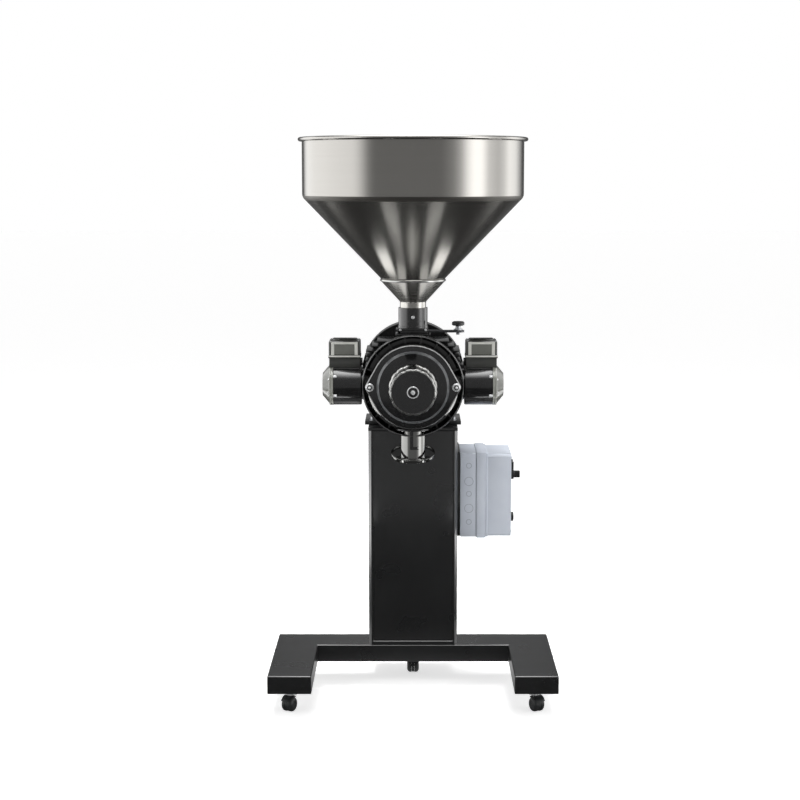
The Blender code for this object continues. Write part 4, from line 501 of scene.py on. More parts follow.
def makeShields():
    front = [(0.0181, 0.046), (0.1285, 0.046, 0.0020), (0.1285, 0.0647, 0.0008), (0.0957, 0.0647),
             (0.0957, 0.073), (0.086, 0.073), (0.086, 0.058), (0.0363, 0.058), (0.0363, 0.050), (0.0181, 0.050)]
    parts = [(turned(softened(front, 3), yAxis, headCentre, 128), castPaint)]
    for i in range(4):
        angle = math.radians(45 + 90 * i)
        seat = Vector((0.121 * math.cos(angle), 0, headZ + 0.121 * math.sin(angle)))
        parts.append((rod(0.0085, 0.048, 0.066, yAxis, seat, 0.0010), castPaint))
        parts += [(shape, zinc) for shape in hexBolt(0.010, -0.048, -0.0425, -yAxis, seat)]
    piece("motorFrontShield", parts, "frame", ("motor_front_shield",))

    rear = [(0.0112, 0.2373), (0.0363, 0.2373), (0.116, 0.2373, 0.0015), (0.116, 0.2253), (0.096, 0.2253),
            (0.096, 0.2173), (0.086, 0.2173), (0.086, 0.2303), (0.0443, 0.2303), (0.0443, 0.2210),
            (0.0363, 0.2210), (0.0363, 0.2333), (0.0112, 0.2333)]
    parts = [turned(softened(rear, 3), yAxis, headCentre, 96)]
    for i in range(motor["shieldRibs"]):
        rib = block((0.112, 0.2263, -0.0025), (0.1459, 0.2363, 0.0025), 0.0008, 2)
        moved(rib, Matrix.Translation(headCentre))
        parts.append(around(rib, 2 * math.pi * (i + 0.5) / motor["shieldRibs"], "Y", headCentre))
    # A sheet ring behind the ribs keeps the cooling air on the fins
    baffle = turned([(0.114, 0.2366), (0.1460, 0.2366), (0.1460, 0.2378), (0.114, 0.2378)], yAxis, headCentre,
                    96)
    piece("motorRearShield", [(shape, castPaint) for shape in parts] + [(baffle, blackPlastic)], "frame",
          ("motor_rear_shield",))


def makeCowl():
    # The end grille is made of rings and spokes, so its slots are open
    radius = motor["cowlRadius"]
    wall = motor["cowlSheet"]
    start = 0.2253
    end = start + 0.078
    cup = [(0.132, end), (radius, end, 0.010), (radius, start, 0.0006), (radius - wall, start),
           (radius - wall, end - wall, 0.008), (0.132, end - wall)]
    parts = [turned(softened(cup, 6), yAxis, headCentre, 128)]
    parts.append(turned([(0.072, end), (0.082, end), (0.082, end - wall), (0.072, end - wall)], yAxis,
                        headCentre, 96))
    parts.append(turned([(0, end), (0.026, end), (0.026, end - wall), (0, end - wall)], yAxis, headCentre, 96))
    for inner, outer, count in ((0.0255, 0.0725, 8), (0.0815, 0.1325, 20)):
        gap = 0.0042
        for i in range(count):
            first = 2 * math.pi * i / count
            last = 2 * math.pi * (i + 1) / count
            spoke = arc(inner, first + gap / inner, last - gap / inner, 6)
            spoke += arc(outer, last - gap / outer, first + gap / outer, 6)
            bar = extruded([(a, b + headZ) for a, b in spoke], end - wall, end, "Y")
            parts.append(bar)
    for i in range(4):
        angle = math.radians(45 + 90 * i)
        way = Vector((math.cos(angle), 0, math.sin(angle)))
        parts.append(screwHead(0.0045, radius - 0.0004, 0.0022, way, (0, start + 0.008, headZ)))
    piece("fanCowl", [(shape, blackEnamel) for shape in parts], "frame", ("fan_cowl",))


def makeMotorBox():
    low = Vector((0.1343, 0.090, 0.8187))
    high = Vector((0.1843, 0.180, 0.9047))
    body = block(low, (high.x - 0.016, high.y, high.z), 0.003)
    lid = block((high.x - 0.0156, low.y - 0.0015, low.z - 0.0015), (high.x, high.y + 0.0015, high.z + 0.0015),
                0.004)
    parts = [(body, castPaint), (lid, castPaint)]
    for y in (low.y + 0.008, high.y - 0.008):
        for z in (low.z + 0.008, high.z - 0.008):
            parts.append((screwHead(0.0032, high.x - 0.0004, 0.0018, xAxis, (0, y, z)), zinc))
    parts.append((rod(0.011, low.z - 0.014, low.z + 0.001, zAxis, (0.152, 0.135, 0), 0.001), blackPlastic))
    piece("motorTerminalBox", parts, "frame", ("motor_terminal_box",))


makeMotorBody()
makeShields()
makeCowl()
makeMotorBox()
print("motor made")


# Grinding head
head = {"rim": 0.1403, "rimWall": 0.006, "body": 0.128, "front": -0.100, "seat": -0.091, "doorFront": -0.127,
        "doorRadius": 0.1156, "earOffset": 0.1173, "earRadius": 0.013, "doorEdge": 0.0045, "highlightStripWidth": 0.0050,
        "stepOuter": 0.0989, "stepInner": 0.0925}


def makeChamber():
    rim = head["rim"]
    front = head["front"]
    inner = rim - head["rimWall"]
    profile = [(inner, front, 0.0022), (rim, front, 0.0030), (rim, front + 0.013, 0.004),
               (head["body"], -0.077, 0.006), (head["body"], 0.0337, 0.003), (0.1285, 0.0357),
               (0.1285, 0.0457, 0.0006), (0.019, 0.0457), (0.019, 0.0317), (0.037, 0.0317), (0.037, -0.042),
               (0.098, -0.042), (0.098, head["seat"], 0.001), (0.1105, head["seat"]), (0.1105, -0.066),
               (inner, -0.066)]
    parts = [turned(softened(profile, 4), yAxis, headCentre, 160)]
    inlet = block((-0.0415, -0.0415, 0.972), (0.0415, 0.0415, 0.997), 0.0025)
    parts.append(inlet)
    half = 0.0415
    square = softened([(-half, -half, 0.003), (half, -half, 0.003), (half, half, 0.003), (-half, half, 0.003)])
    skirt = bmesh.new()
    rings = [[skirt.verts.new((a, b, height)) for a, b in square] for height in (0.9725, 0.984)]
    bridge(skirt, *rings)
    skirt.faces.new(rings[0])
    skirt.faces.new(rings[1])
    bmesh.ops.recalc_face_normals(skirt, faces=skirt.faces)
    parts.append(skirt)
    for side in (-1, 1):
        pad = [(0, 0.110), (0.0445, 0.116), (0.0415, 0.132, 0.004), (0.0415, 0.1405, 0.0008), (0, 0.1405)]
        parts.append(turned(softened(pad, 4), side * xAxis, (0, -0.048, headZ), 64))
    # Webs stiffen the rim in the recess round the door
    for angle in range(-150, 181, 20):
        web = block((-0.0028, -0.0895, 0.110), (0.0028, -0.064, inner + 0.001), 0.0012, 2)
        moved(web, Matrix.Translation(headCentre))
        parts.append(around(web, math.radians(angle), "Y", headCentre))
    ring = turned(arc(0.0016, 0, 2 * math.pi, 12, (rim - 0.0030, front - 0.0002))[:-1], yAxis, headCentre, 160)
    for side in (-1, 1):
        middle = side * 0.1215
        parts.append(block((middle - 0.0115, head["seat"], headZ - 0.016),
                           (middle + 0.0115, -0.064, headZ + 0.016), 0.002))
    piece("grindingChamber", [(shape, blackEnamel) for shape in parts] + [(ring, machined)], "frame",
          ("grinding_chamber",))


def doorOutline(shrink=0):
    radius = head["doorRadius"] - shrink
    ear = head["earRadius"] - shrink
    offset = head["earOffset"]
    lean = math.acos((radius - ear) / offset)
    outline = arc(ear, -lean, lean, 14, (offset, 0)) + arc(radius, lean, math.pi - lean, 48)
    outline += arc(ear, math.pi - lean, math.pi + lean, 14, (-offset, 0))
    outline += arc(radius, math.pi + lean, 2 * math.pi - lean, 48)
    return [(x, z + headZ) for x, z in outline]


def makeDoor():
    front = head["doorFront"]
    deep = front + head["doorEdge"]
    slab = extruded(doorOutline(), deep, -0.0913, "Y")
    edge = extruded(doorOutline(), front, deep, "Y")
    rim = [side for side in edge.edges if all(abs(vert.co.y - front) < 1e-6 for vert in side.verts)]
    rounded(edge, rim, head["doorEdge"] - 0.0002, 4)
    plate = extruded(doorOutline(head["doorEdge"] * 0.75), front - 0.0003, front + 0.002, "Y", 0.0004, 2, 60)
    step = head["stepOuter"]
    inner = head["stepInner"]
    band = softened([(step + 0.001, front + 0.001), (step, front - 0.0002, 0.0006),
                     (inner + 0.0006, front - 0.0076, 0.0010), (inner - 0.001, front - 0.0078),
                     (inner - 0.001, front + 0.001)], 3)
    crown = softened([(inner, front + 0.001), (inner, front - 0.008, 0.0008), (0.060, front - 0.0112, 0.03),
                      (0.022, front - 0.013, 0.002), (0.0086, front - 0.013), (0.0086, front + 0.001)], 5)
    parts = [(slab, blackEnamel), (edge, machined), (plate, blackEnamel),
             (turned(band, yAxis, headCentre, 160), satinBand),
             (turned(crown, yAxis, headCentre, 160), blackEnamel)]
    # Below each ear a near-white strip runs along the edge, widest halfway: a painted highlight of the door's
    # chamfer
    radius = head["doorRadius"]
    for side in (-1, 1):
        near = []
        far = []
        for step in range(25):
            turn = math.radians(10 + 32 * step / 24)
            reach = radius / math.cos(max(0, math.radians(29) - turn)) - 0.001
            width = 0.0015 + head["highlightStripWidth"] * math.sin(math.pi * step / 24)
            near.append((side * reach * math.cos(turn), headZ - reach * math.sin(turn)))
            far.append((side * (reach + width) * math.cos(turn), headZ - (reach + width) * math.sin(turn)))
        parts.append((extruded(near + far[::-1], -0.1228, -0.1180, "Y", 0.0006, 2), chamferHighlightPaint))
    piece("frontDoor", parts, "frame", ("front_door",))
    for side, name in ((-1, "left"), (1, "right")):
        place = (side * head["earOffset"], 0, headZ)
        washer = turned([(0, 0.1273), (0.0112, 0.1273), (0.0112, 0.1280), (0.0106, 0.1288), (0.0078, 0.1302),
                         (0, 0.1302)], -yAxis, place, 48)
        stud = [(washer, brightZinc)]
        stud += [(shape, castPaint) for shape in hexBolt(0.013, 0.1300, 0.1350, -yAxis, place)]
        stud.append((turned([(0, 0.100), (0.004, 0.100), (0.004, 0.1358), (0.0034, 0.1372), (0.0020, 0.1384),
                             (0, 0.1389)], -yAxis, place, 32), brightZinc))
        piece("doorStud_" + name, stud, "frame", ("door_stud_" + name,))


knob = {"radius": 0.0660, "faceRadius": 0.0630, "start": -0.148, "front": -0.235, "lobes": 16,
        "lobeDepth": 0.0015, "faceRecess": 0.057}


def lobedRing(radius, count=240):
    # Wide convex lobes with a narrow groove between each two
    points = []
    for i in range(count):
        angle = 2 * math.pi * i / count
        groove = abs(math.cos(angle * knob["lobes"] / 2)) ** 5
        reach = radius - knob["lobeDepth"] * groove
        points.append((reach * math.cos(angle), reach * math.sin(angle)))
    return points


def makeKnob():
    start = knob["start"]
    front = knob["front"]
    taper = knob["radius"] - knob["faceRadius"]
    # Sections from the back to the front, each a lobed ring; the rims are rounded over
    sections = [(start, knob["radius"] - 0.0060), (start - 0.0008, knob["radius"] - 0.0025),
                (start - 0.0030, knob["radius"] - 0.0004), (start - 0.0050, knob["radius"]),
                (start - 0.0085, knob["radius"] - 0.0002), (start - 0.0105, knob["radius"] - 0.0012),
                (start - 0.0118, knob["radius"] - 0.0030), (start - 0.0125, knob["radius"] - 0.0036)]
    sections += [(start + (front - start) * t, knob["radius"] - 0.0036 - taper * t) for t in (0.4, 0.65, 0.82)]
    sections += [(front + 0.0115, knob["faceRadius"] - 0.0020), (front + 0.0085, knob["faceRadius"] - 0.0002)]
    sections += [(front + 0.0045, knob["faceRadius"] - 0.0002), (front + 0.0018, knob["faceRadius"] - 0.0012),
                 (front + 0.0004, knob["faceRadius"] - 0.0032), (front, knob["faceRadius"] - 0.0052)]
    drum = bmesh.new()
    rings = [[drum.verts.new((x, y, z + headZ)) for x, z in lobedRing(radius)] for y, radius in sections]
    for near, far in zip(rings, rings[1:]):
        bridge(drum, near, far)
    # The face and the back close onto round edges, the face shallow and the back hollow
    count = len(rings[0])
    for ring, y, radius, deepY, share in ((rings[-1], front, knob["faceRecess"], front + 0.0012, 0.997),
                                          (rings[0], start, 0.050, front + 0.007, 1)):
        last = [drum.verts.new((radius * math.cos(2 * math.pi * i / count), y,
                                headZ + radius * math.sin(2 * math.pi * i / count))) for i in range(count)]
        deep = [drum.verts.new((vert.co.x * share, deepY,
                                headZ + (vert.co.z - headZ) * share)) for vert in last]
        bridge(drum, ring, last)
        bridge(drum, last, deep)
    drum.faces.new(deep)
    bmesh.ops.recalc_face_normals(drum, faces=drum.faces)
    face = turned(softened([(0.0150, front + 0.0030), (0.0150, front + 0.0012), (0.0568, front + 0.0012),
                            (0.0568, front + 0.0030)], 2), yAxis, headCentre, 128)
    hub = turned(softened([(0.0081, front, 0.0006), (0.016, front, 0.0010), (0.016, start), (0.0081, start)],
                          4), yAxis, headCentre, 64)
    hubRim = turned(arc(0.0015, 0, 2 * math.pi, 12, (0.0146, front + 0.0002))[:-1], yAxis, headCentre, 64)
    piece("adjustingKnob", [(drum, turnedKnob), (face, blackEnamel), (hub, blackEnamel), (hubRim, brightZinc)],
          "setting", ("adjusting_knob",))
    shaft = turned(softened([(0, front - 0.0003), (0.008, front - 0.0003), (0.008, -0.115), (0, -0.115)], 3),
                   yAxis, headCentre, 48)
    washer = rod(0.0125, 0.2353, 0.2365, -yAxis, headCentre, 0.0004, 48)
    bolt = screwHead(0.0058, 0.2365, 0.0045, -yAxis, headCentre)
    piece("adjustingSpindle", [(shaft, machined), (washer, blackEnamel), (bolt, brightZinc)], "setting",
          ("adjusting_spindle",))


makeChamber()
makeDoor()
makeKnob()
print("grinding head made")


# Inlet and gate
inlet = {"half": 0.0415, "socket": 0.0403, "socketLow": 1.0186, "socketTop": 1.0743}


def makeInlet():
    half = inlet["half"]
    cover = block((-half, -half, 0.9973), (half, half, 1.0047), 0.0012)
    top = block((-half, -half, 1.0109), (half, half, 1.0183), 0.0012)
    parts = [(cover, blackEnamel), (top, blackEnamel)]
    # The slide runs between the two plates, closed by spacers on three sides
    parts.append((block((-half, -half, 1.004), (half, -0.0345, 1.0116), 0.0004), blackEnamel))
    parts.append((block((-half, 0.0345, 1.004), (half, half, 1.0116), 0.0004), blackEnamel))
    parts.append((block((-half, -half, 1.004), (-0.0348, half, 1.0116), 0.0004), blackEnamel))
    for y in (-0.024, 0.0):
        place = (0, y, 1.004 if y else 1.014)
        stop = hexBolt(0.0075, half - 0.0004, half + 0.005, -xAxis, place)
        parts += [(shape, zinc) for shape in stop]
    for x in (-0.035, 0.035):
        parts.append((screwHead(0.0034, half - 0.0003, 0.0020, -yAxis, (x, 0, 1.0146)), brightZinc))
    piece("gateHousing", parts, "frame", ("gate_housing",))

    radius = inlet["socket"]
    low = inlet["socketLow"]
    high = inlet["socketTop"]
    profile = [(0.030, low), (radius + 0.001, low), (radius + 0.001, low + 0.005, 0.0006),
               (radius, low + 0.006), (radius, high, 0.0014), (0.0363, high, 0.0005), (0.0363, high - 0.0423),
               (0.030, high - 0.0423)]
    socket = [(turned(softened(profile, 4), zAxis, (0, 0, 0), 96), blackEnamel)]
    socket.append((screwHead(0.0048, radius - 0.0006, 0.0032, -yAxis, (0, 0, 1.0490)), brightZinc))
    piece("inletSocket", socket, "frame", ("inlet_socket",))


gateKnob = {"x": 0.125, "radius": 0.0175, "top": 1.0111}


def makeGate():
    nose = arc(0.011, -math.pi / 2, math.pi / 2, 16, (0.131, 0))
    outline = [(-0.034, -0.034), (0.0405, -0.034), (0.0405, -0.011)] + nose + [(0.0405, 0.011), (0.0405, 0.034),
                                                                             (-0.034, 0.034)]
    slide = extruded(outline, 1.0048, 1.0108, "Z", 0.0006, 2)
    piece("gateSlide", [(slide, darkSteel)], "gate", ("gate_slide",))
    radius = gateKnob["radius"]
    top = gateKnob["top"]
    stem = [(0, top), (0.0125, top, 0.0008), (0.0125, top + 0.0030, 0.0008), (0.0080, top + 0.0036),
            (0.0070, top + 0.0110), (0, top + 0.0110)]
    profile = [(0, top + 0.0105), (radius - 0.003, top + 0.0125, 0.0010), (radius, top + 0.0145, 0.0014),
               (radius, top + 0.021, 0.0022), (radius - 0.0035, top + 0.024, 0.004), (0, top + 0.0245)]
    place = (gateKnob["x"], 0, 0)
    parts = [(turned(softened(profile, 4), zAxis, place, 64), blackPlastic),
             (turned(softened(stem, 4), zAxis, place, 64), zinc)]
    parts += [(shape, zinc) for shape in hexBolt(0.0100, 0.9985, 1.0045, zAxis, place)]
    piece("gateKnob", parts, "gate", ("gate_knob",))


makeInlet()
makeGate()
print("inlet made")


# Hopper
hopper = {"radius": 0.3036, "top": 1.533, "bead": 0.0055, "sheet": 0.0015, "footRadius": 0.0878, "foot": 1.153,
          "collar": 0.0907, "neck": 0.0360}


def makeHopper():
    radius = hopper["radius"]
    wall = hopper["sheet"]
    bead = hopper["bead"]
    top = hopper["top"]
    low = hopper["foot"]
    bowl = [(radius, top - 0.004), (radius, 1.394), (radius, 1.386), (radius - 0.0006, 1.381)]
    shoulder = [(radius - 0.0006, 1.381), (radius - 0.0022, 1.3765), (radius - 0.0050, 1.3722),
                (radius - 0.0090, 1.3682)]
    rolled = arc(bead, math.pi * 1.12, -math.pi * 0.80, 18, (radius + bead, top))[1:]
    inside = [(radius - wall, top), (radius - wall, 1.386), (radius - 0.0006 - wall, 1.381)]
    band = turned(bowl[::-1] + rolled + inside, zAxis, (0, 0, 0), 192)
    bend = turned(shoulder + [(r - wall, h + 0.0008) for r, h in reversed(shoulder)], zAxis, (0, 0, 0), 192)
    slope = [(radius - 0.0090, 1.3682), (hopper["footRadius"], low), (hopper["footRadius"] - wall, low),
             (radius - 0.0095 - wall, 1.3690)]
    sheet = between(slope[0], slope[1], 8) + between(slope[2], slope[3], 8)
    cone = turned(sheet, zAxis, (0, 0, 0), 192)
    # The bowl and the cone are one sheet; the cone's darker steel is painted shade
    piece("hopperShell", [(band, bowlSteel), (bend, seamSteel), (cone, paintedShadeConeSteel)], "frame",
          ("hopper_shell",))

    collar = hopper["collar"]
    neck = hopper["neck"]
    lip = turned(softened([(0.0863, 1.1527), (collar, 1.1527, 0.0022), (collar, 1.1467, 0.0022),
                           (0.0863, 1.1462)], 5), zAxis, (0, 0, 0), 128)
    funnel = softened([(0.0887, 1.1470), (neck + 0.0002, 1.0900, 0.006), (neck, 1.0323), (neck - wall, 1.0323),
                       (neck - wall, 1.0895, 0.006), (0.0850, 1.1475)], 6)
    piece("hopperFunnel", [(lip, polished), (turned(funnel, zAxis, (0, 0, 0), 128), funnelSteel)], "frame",
          ("hopper_funnel",))


makeHopper()
print("hopper made")


# Outlet spout and bag ring
spout = {"y": -0.068, "radius": 0.0345, "sheet": 0.0016, "slotWidth": 0.0085, "slotAngle": -6.0,
         "slotTurn": 27.5, "pinZ": 0.695, "top": 0.7437, "bottom": 0.653, "ringRadius": 0.0595,
         "ringBand": 0.010, "ringSheet": 0.0022, "ringZ": 0.675, "ringTilt": 15, "ringMouth": 64}


def slotted(angle, height):
    # Whether a wall cell at this angle and height lies in the J-shaped slot
    half = spout["slotWidth"] / 2
    offset = (angle - spout["slotAngle"] + 180) % 360 - 180
    sideways = math.radians(offset) * spout["radius"]
    upright = abs(sideways) < half and height > spout["pinZ"]
    run = math.radians(spout["slotTurn"]) * spout["radius"]
    level = -half < sideways < run + half and abs(height - spout["pinZ"]) < half
    if level and sideways > run:
        level = math.hypot(sideways - run, height - spout["pinZ"]) < half
    return upright or level


def makeSleeve():
    # A fine grid bent round the tube; the cells of the slot are left out, then the sheet gets its thickness
    centre = Vector((0, spout["y"], 0))
    radius = spout["radius"]
    columns = 300
    rows = 76
    top = spout["top"]
    low = 0.6650
    grid = bmesh.new()
    verts = [[grid.verts.new(centre + Vector((radius * math.sin(2 * math.pi * i / columns),
                                              -radius * math.cos(2 * math.pi * i / columns),
                                              low + (top - low) * j / rows))) for i in range(columns)]
             for j in range(rows + 1)]
    for j in range(rows):
        height = low + (top - low) * (j + 0.5) / rows
        for i in range(columns):
            if slotted(360 * (i + 0.5) / columns, height):
                continue
            k = (i + 1) % columns
            grid.faces.new((verts[j][i], verts[j][k], verts[j + 1][k], verts[j + 1][i]))
    loose = [vert for vert in grid.verts if not vert.link_faces]
    bmesh.ops.delete(grid, geom=loose, context="VERTS")
    bmesh.ops.recalc_face_normals(grid, faces=grid.faces)
    bmesh.ops.solidify(grid, geom=grid.faces[:], thickness=spout["sheet"])
    bmesh.ops.recalc_face_normals(grid, faces=grid.faces)
    inner = radius - spout["sheet"]
    foot = [(inner, 0.6655), (radius, 0.6655), (radius, 0.6650), (0.048, 0.6650, 0.0009),
            (0.048, 0.6625, 0.0009), (radius, 0.6625), (radius, spout["bottom"], 0.0007),
            (inner, spout["bottom"])]
    parts = [(grid, polishedTube), (turned(softened(foot, 4), zAxis, centre, 128), polishedTube)]
    hingeZ = spout["ringZ"] + spout["ringRadius"] * math.sin(math.radians(spout["ringTilt"]))
    hingeY = spout["y"] + spout["ringRadius"] * math.cos(math.radians(spout["ringTilt"])) - 0.012
    parts.append((block((-0.006, spout["y"] + radius - 0.001, hingeZ - 0.005),
                        (0.006, hingeY + 0.002, hingeZ + 0.005), 0.0015), polishedTube))
    parts.append((rod(0.0025, -0.0138, 0.0138, xAxis, (0, hingeY, hingeZ), 0.0006), machined))
    piece("outletSleeve", parts, "sleeve", ("outlet_sleeve",))

    # The hoop is an open band with rounded ends and two knuckles on the pin
    half = math.radians(spout["ringMouth"] / 2)
    ring = spout["ringRadius"]
    sheet = spout["ringSheet"] / 2
    outline = arc(ring + sheet, -math.pi / 2 + half, 1.5 * math.pi - half, 90)
    outline += arc(ring - sheet, 1.5 * math.pi - half, -math.pi / 2 + half, 90)
    hoop = extruded(outline, -spout["ringBand"] / 2, spout["ringBand"] / 2, "Z", 0.0007, 2)
    place = Matrix.Translation((0, spout["y"],
                                spout["ringZ"])) @ Matrix.Rotation(math.radians(spout["ringTilt"]), 4, "X")
    parts = [(moved(hoop, place), ringSteel)]
    back = spout["y"] + ring * math.cos(math.radians(spout["ringTilt"]))
    for side in (-1, 1):
        ends = sorted((side * 0.0066, side * 0.0101))
        parts.append((block((ends[0], hingeY - 0.0045, hingeZ - 0.0042), (ends[1], back, hingeZ + 0.0042),
                            0.0010), ringSteel))
    piece("bagRing", parts, "bag_ring", ("bag_ring",))


def makeNozzle():
    centre = (0, spout["y"], 0)
    inner = spout["radius"] - spout["sheet"] - 0.0003
    bore = inner - spout["sheet"]
    flange = [(bore, 0.749), (0.055, 0.749, 0.0006), (0.055, 0.744, 0.0012), (bore, 0.744)]
    tube = [(bore, 0.748), (inner, 0.748), (inner, 0.686), (bore, 0.686)]
    parts = [(turned(softened(flange, 4), zAxis, centre, 128), blackEnamel),
             (turned(tube, zAxis, centre, 128), blackEnamel)]
    angle = math.radians(spout["slotAngle"] + spout["slotTurn"])
    way = Vector((math.sin(angle), -math.cos(angle), 0))
    parts.append((rod(0.0032, inner - 0.001, spout["radius"] + 0.0025, way, (0, spout["y"], spout["pinZ"]),
                      0.0008), polished))
    for turn in (-38, 38, 142, 218):
        place = (0.047 * math.sin(math.radians(turn)), spout["y"] - 0.047 * math.cos(math.radians(turn)), 0)
        parts.append((screwHead(0.0035, -0.7442, 0.0026, -zAxis, place), brightZinc))
    piece("outletNozzle", parts, "frame", ("outlet_nozzle",))


makeNozzle()
makeSleeve()
print("outlet made")


# Side motors
sideMotor = {"y": -0.048, "radius": 0.0565, "start": 0.1409, "seam": 0.2176, "rim": 0.230, "end": 0.248,
             "flat": 0.031}


def makeSideMotor(name, side):
    way = side * xAxis
    radius = sideMotor["radius"]
    centre = (0, sideMotor["y"], headZ)
    start = sideMotor["start"]
    seam = sideMotor["seam"]
    rim = sideMotor["rim"]
    end = sideMotor["end"]
    body = turned(softened([(0, start), (radius, start, 0.003), (radius, seam, 0.0007), (0.035, seam),
                            (0.035, start + 0.018), (0.0076, start + 0.018), (0.0076, start + 0.006),
                            (0, start + 0.006)], 4), way, centre, 96)
    parts = [(body, blackEnamel)]
    for angle in (28, -28, 152, 208):
        turn = math.radians(angle)
        seat = Vector((0, sideMotor["y"] - (radius - 0.001) * math.cos(turn),
                       headZ + (radius - 0.001) * math.sin(turn)))
        finish = brightZinc if abs(angle) < 90 else blackEnamel
        parts.append((rod(0.0040, seam - 0.010, seam, way, seat, 0.0006), finish))
    piece("sideMotorHousing_" + name, parts, "frame", ("side_motor_housing_" + name,))

    profile = [(0, end), (sideMotor["flat"], end, 0.0012), (sideMotor["flat"] + 0.012, rim + 0.008, 0.0012),
               (radius - 0.004, rim, 0.0010), (radius, rim - 0.001, 0.0008), (radius, seam + 0.0003, 0.0005),
               (radius - 0.006, seam + 0.0003), (radius - 0.006, rim - 0.006), (0.0076, rim - 0.006),
               (0.0076, rim - 0.002), (0, rim - 0.002)]
    parts = [(turned(softened(profile, 4), way, centre, 96), capPaint)]
    # Two turned lands run round the cap's flange
    for near, far in ((seam + 0.0008, seam + 0.0052), (seam + 0.0066, seam + 0.0108)):
        land = [(radius - 0.002, near), (radius + 0.0006, near, 0.0005), (radius + 0.0006, far, 0.0005),
                (radius - 0.002, far)]
        parts.append((turned(softened(land, 3), way, centre, 96), flangePaint))
    for angle in (-20, 20, 160, 200):
        turn = math.radians(angle)
        seat = Vector((0, sideMotor["y"] - 0.0500 * math.cos(turn), headZ + 0.0500 * math.sin(turn)))
        parts.append((screwHead(0.0036, rim - 0.0002, 0.0026, way, seat), brightZinc))
    piece("sideMotorCap_" + name, parts, "frame", ("side_motor_cap_" + name,))

    # Terminal box: its base is bent over the housing, its lid steps in twice
    y = sideMotor["y"]
    inner, outer = sorted((side * 0.145, side * 0.229))
    skirt = arc(radius + 0.0006, math.radians(58), math.radians(122), 20, (y, headZ))
    outline = [(y + 0.0310, 0.9407)] + skirt + [(y - 0.0310, 0.9407)]
    parts = [(extruded(outline, inner, outer, "X", 0.0010, 2), boxPaint)]
    parts.append((rod(0.0105, 0.1385, 0.1455, way, (0, y, 0.929), 0.0008), blackPlastic))
    piece("terminalBase_" + name, parts, "frame", ("terminal_base_" + name,))
    low, high = sorted((side * 0.143, side * 0.231))
    flange = block((low, y - 0.040, 0.941), (high, y + 0.040, 0.949), 0.0012)
    upper = block((low + 0.001, y - 0.039, 0.945), (high - 0.001, y + 0.039, 0.9885), 0.0045, 4)
    cap = block((low + 0.010, y - 0.031, 0.980), (high - 0.010, y + 0.031, 0.992), 0.0030, 3)
    parts = [(flange, boxPaint), (upper, boxPaint), (cap, boxPaint)]
    panelLow = low + 0.0160
    panelHigh = high - 0.0160
    for front in (-1, 1):
        near, far = sorted((y + front * 0.0395, y + front * 0.034))
        parts.append((block((panelLow, near, 0.9515), (panelHigh, far, 0.9800), 0.0006, 2), panelPaint))
        near, far = sorted((y + front * 0.0400, y + front * 0.034))
        for start, end, foot, head in ((panelLow - 0.0085, panelLow + 0.0005, 0.9500, 0.9860),
                                       (panelHigh - 0.0005, panelHigh + 0.0085, 0.9500, 0.9860),
                                       (panelLow, panelHigh, 0.9795, 0.9860)):
            parts.append((block((start, near, foot), (end, far, head), 0.0012, 2), frameTrim))
    near, far = sorted((y - 0.0405, y - 0.036))
    parts.append((block((low, near, 0.9440), (high, far, 0.9490), 0.0018, 3), frameTrim))
    for x in (low + 0.006, high - 0.006):
        for yy in (y - 0.033, y + 0.033):
            parts.append((screwHead(0.0026, 0.9875, 0.0018, zAxis, (x, yy, 0)), zinc))
    piece("terminalLid_" + name, parts, "frame", ("terminal_lid_" + name,))


makeSideMotor("left", -1)
makeSideMotor("right", 1)
print("side motors made")


# Controls
control = {"y0": 0.045, "y1": 0.225, "z0": 0.414, "z1": 0.659, "band": 0.0025, "lidSlope": 0.0085}


def knockout(radius, y, z, x, depth=0.0007):
    # A pressed ring in the wall that an electrician can knock out
    profile = softened([(radius - 0.0016, -depth), (radius - 0.0010, 0.0005), (radius + 0.0002, 0.0005),
                        (radius + 0.0010, -depth)], 2)
    return turned(profile, -yAxis, (x, y, z), 48)


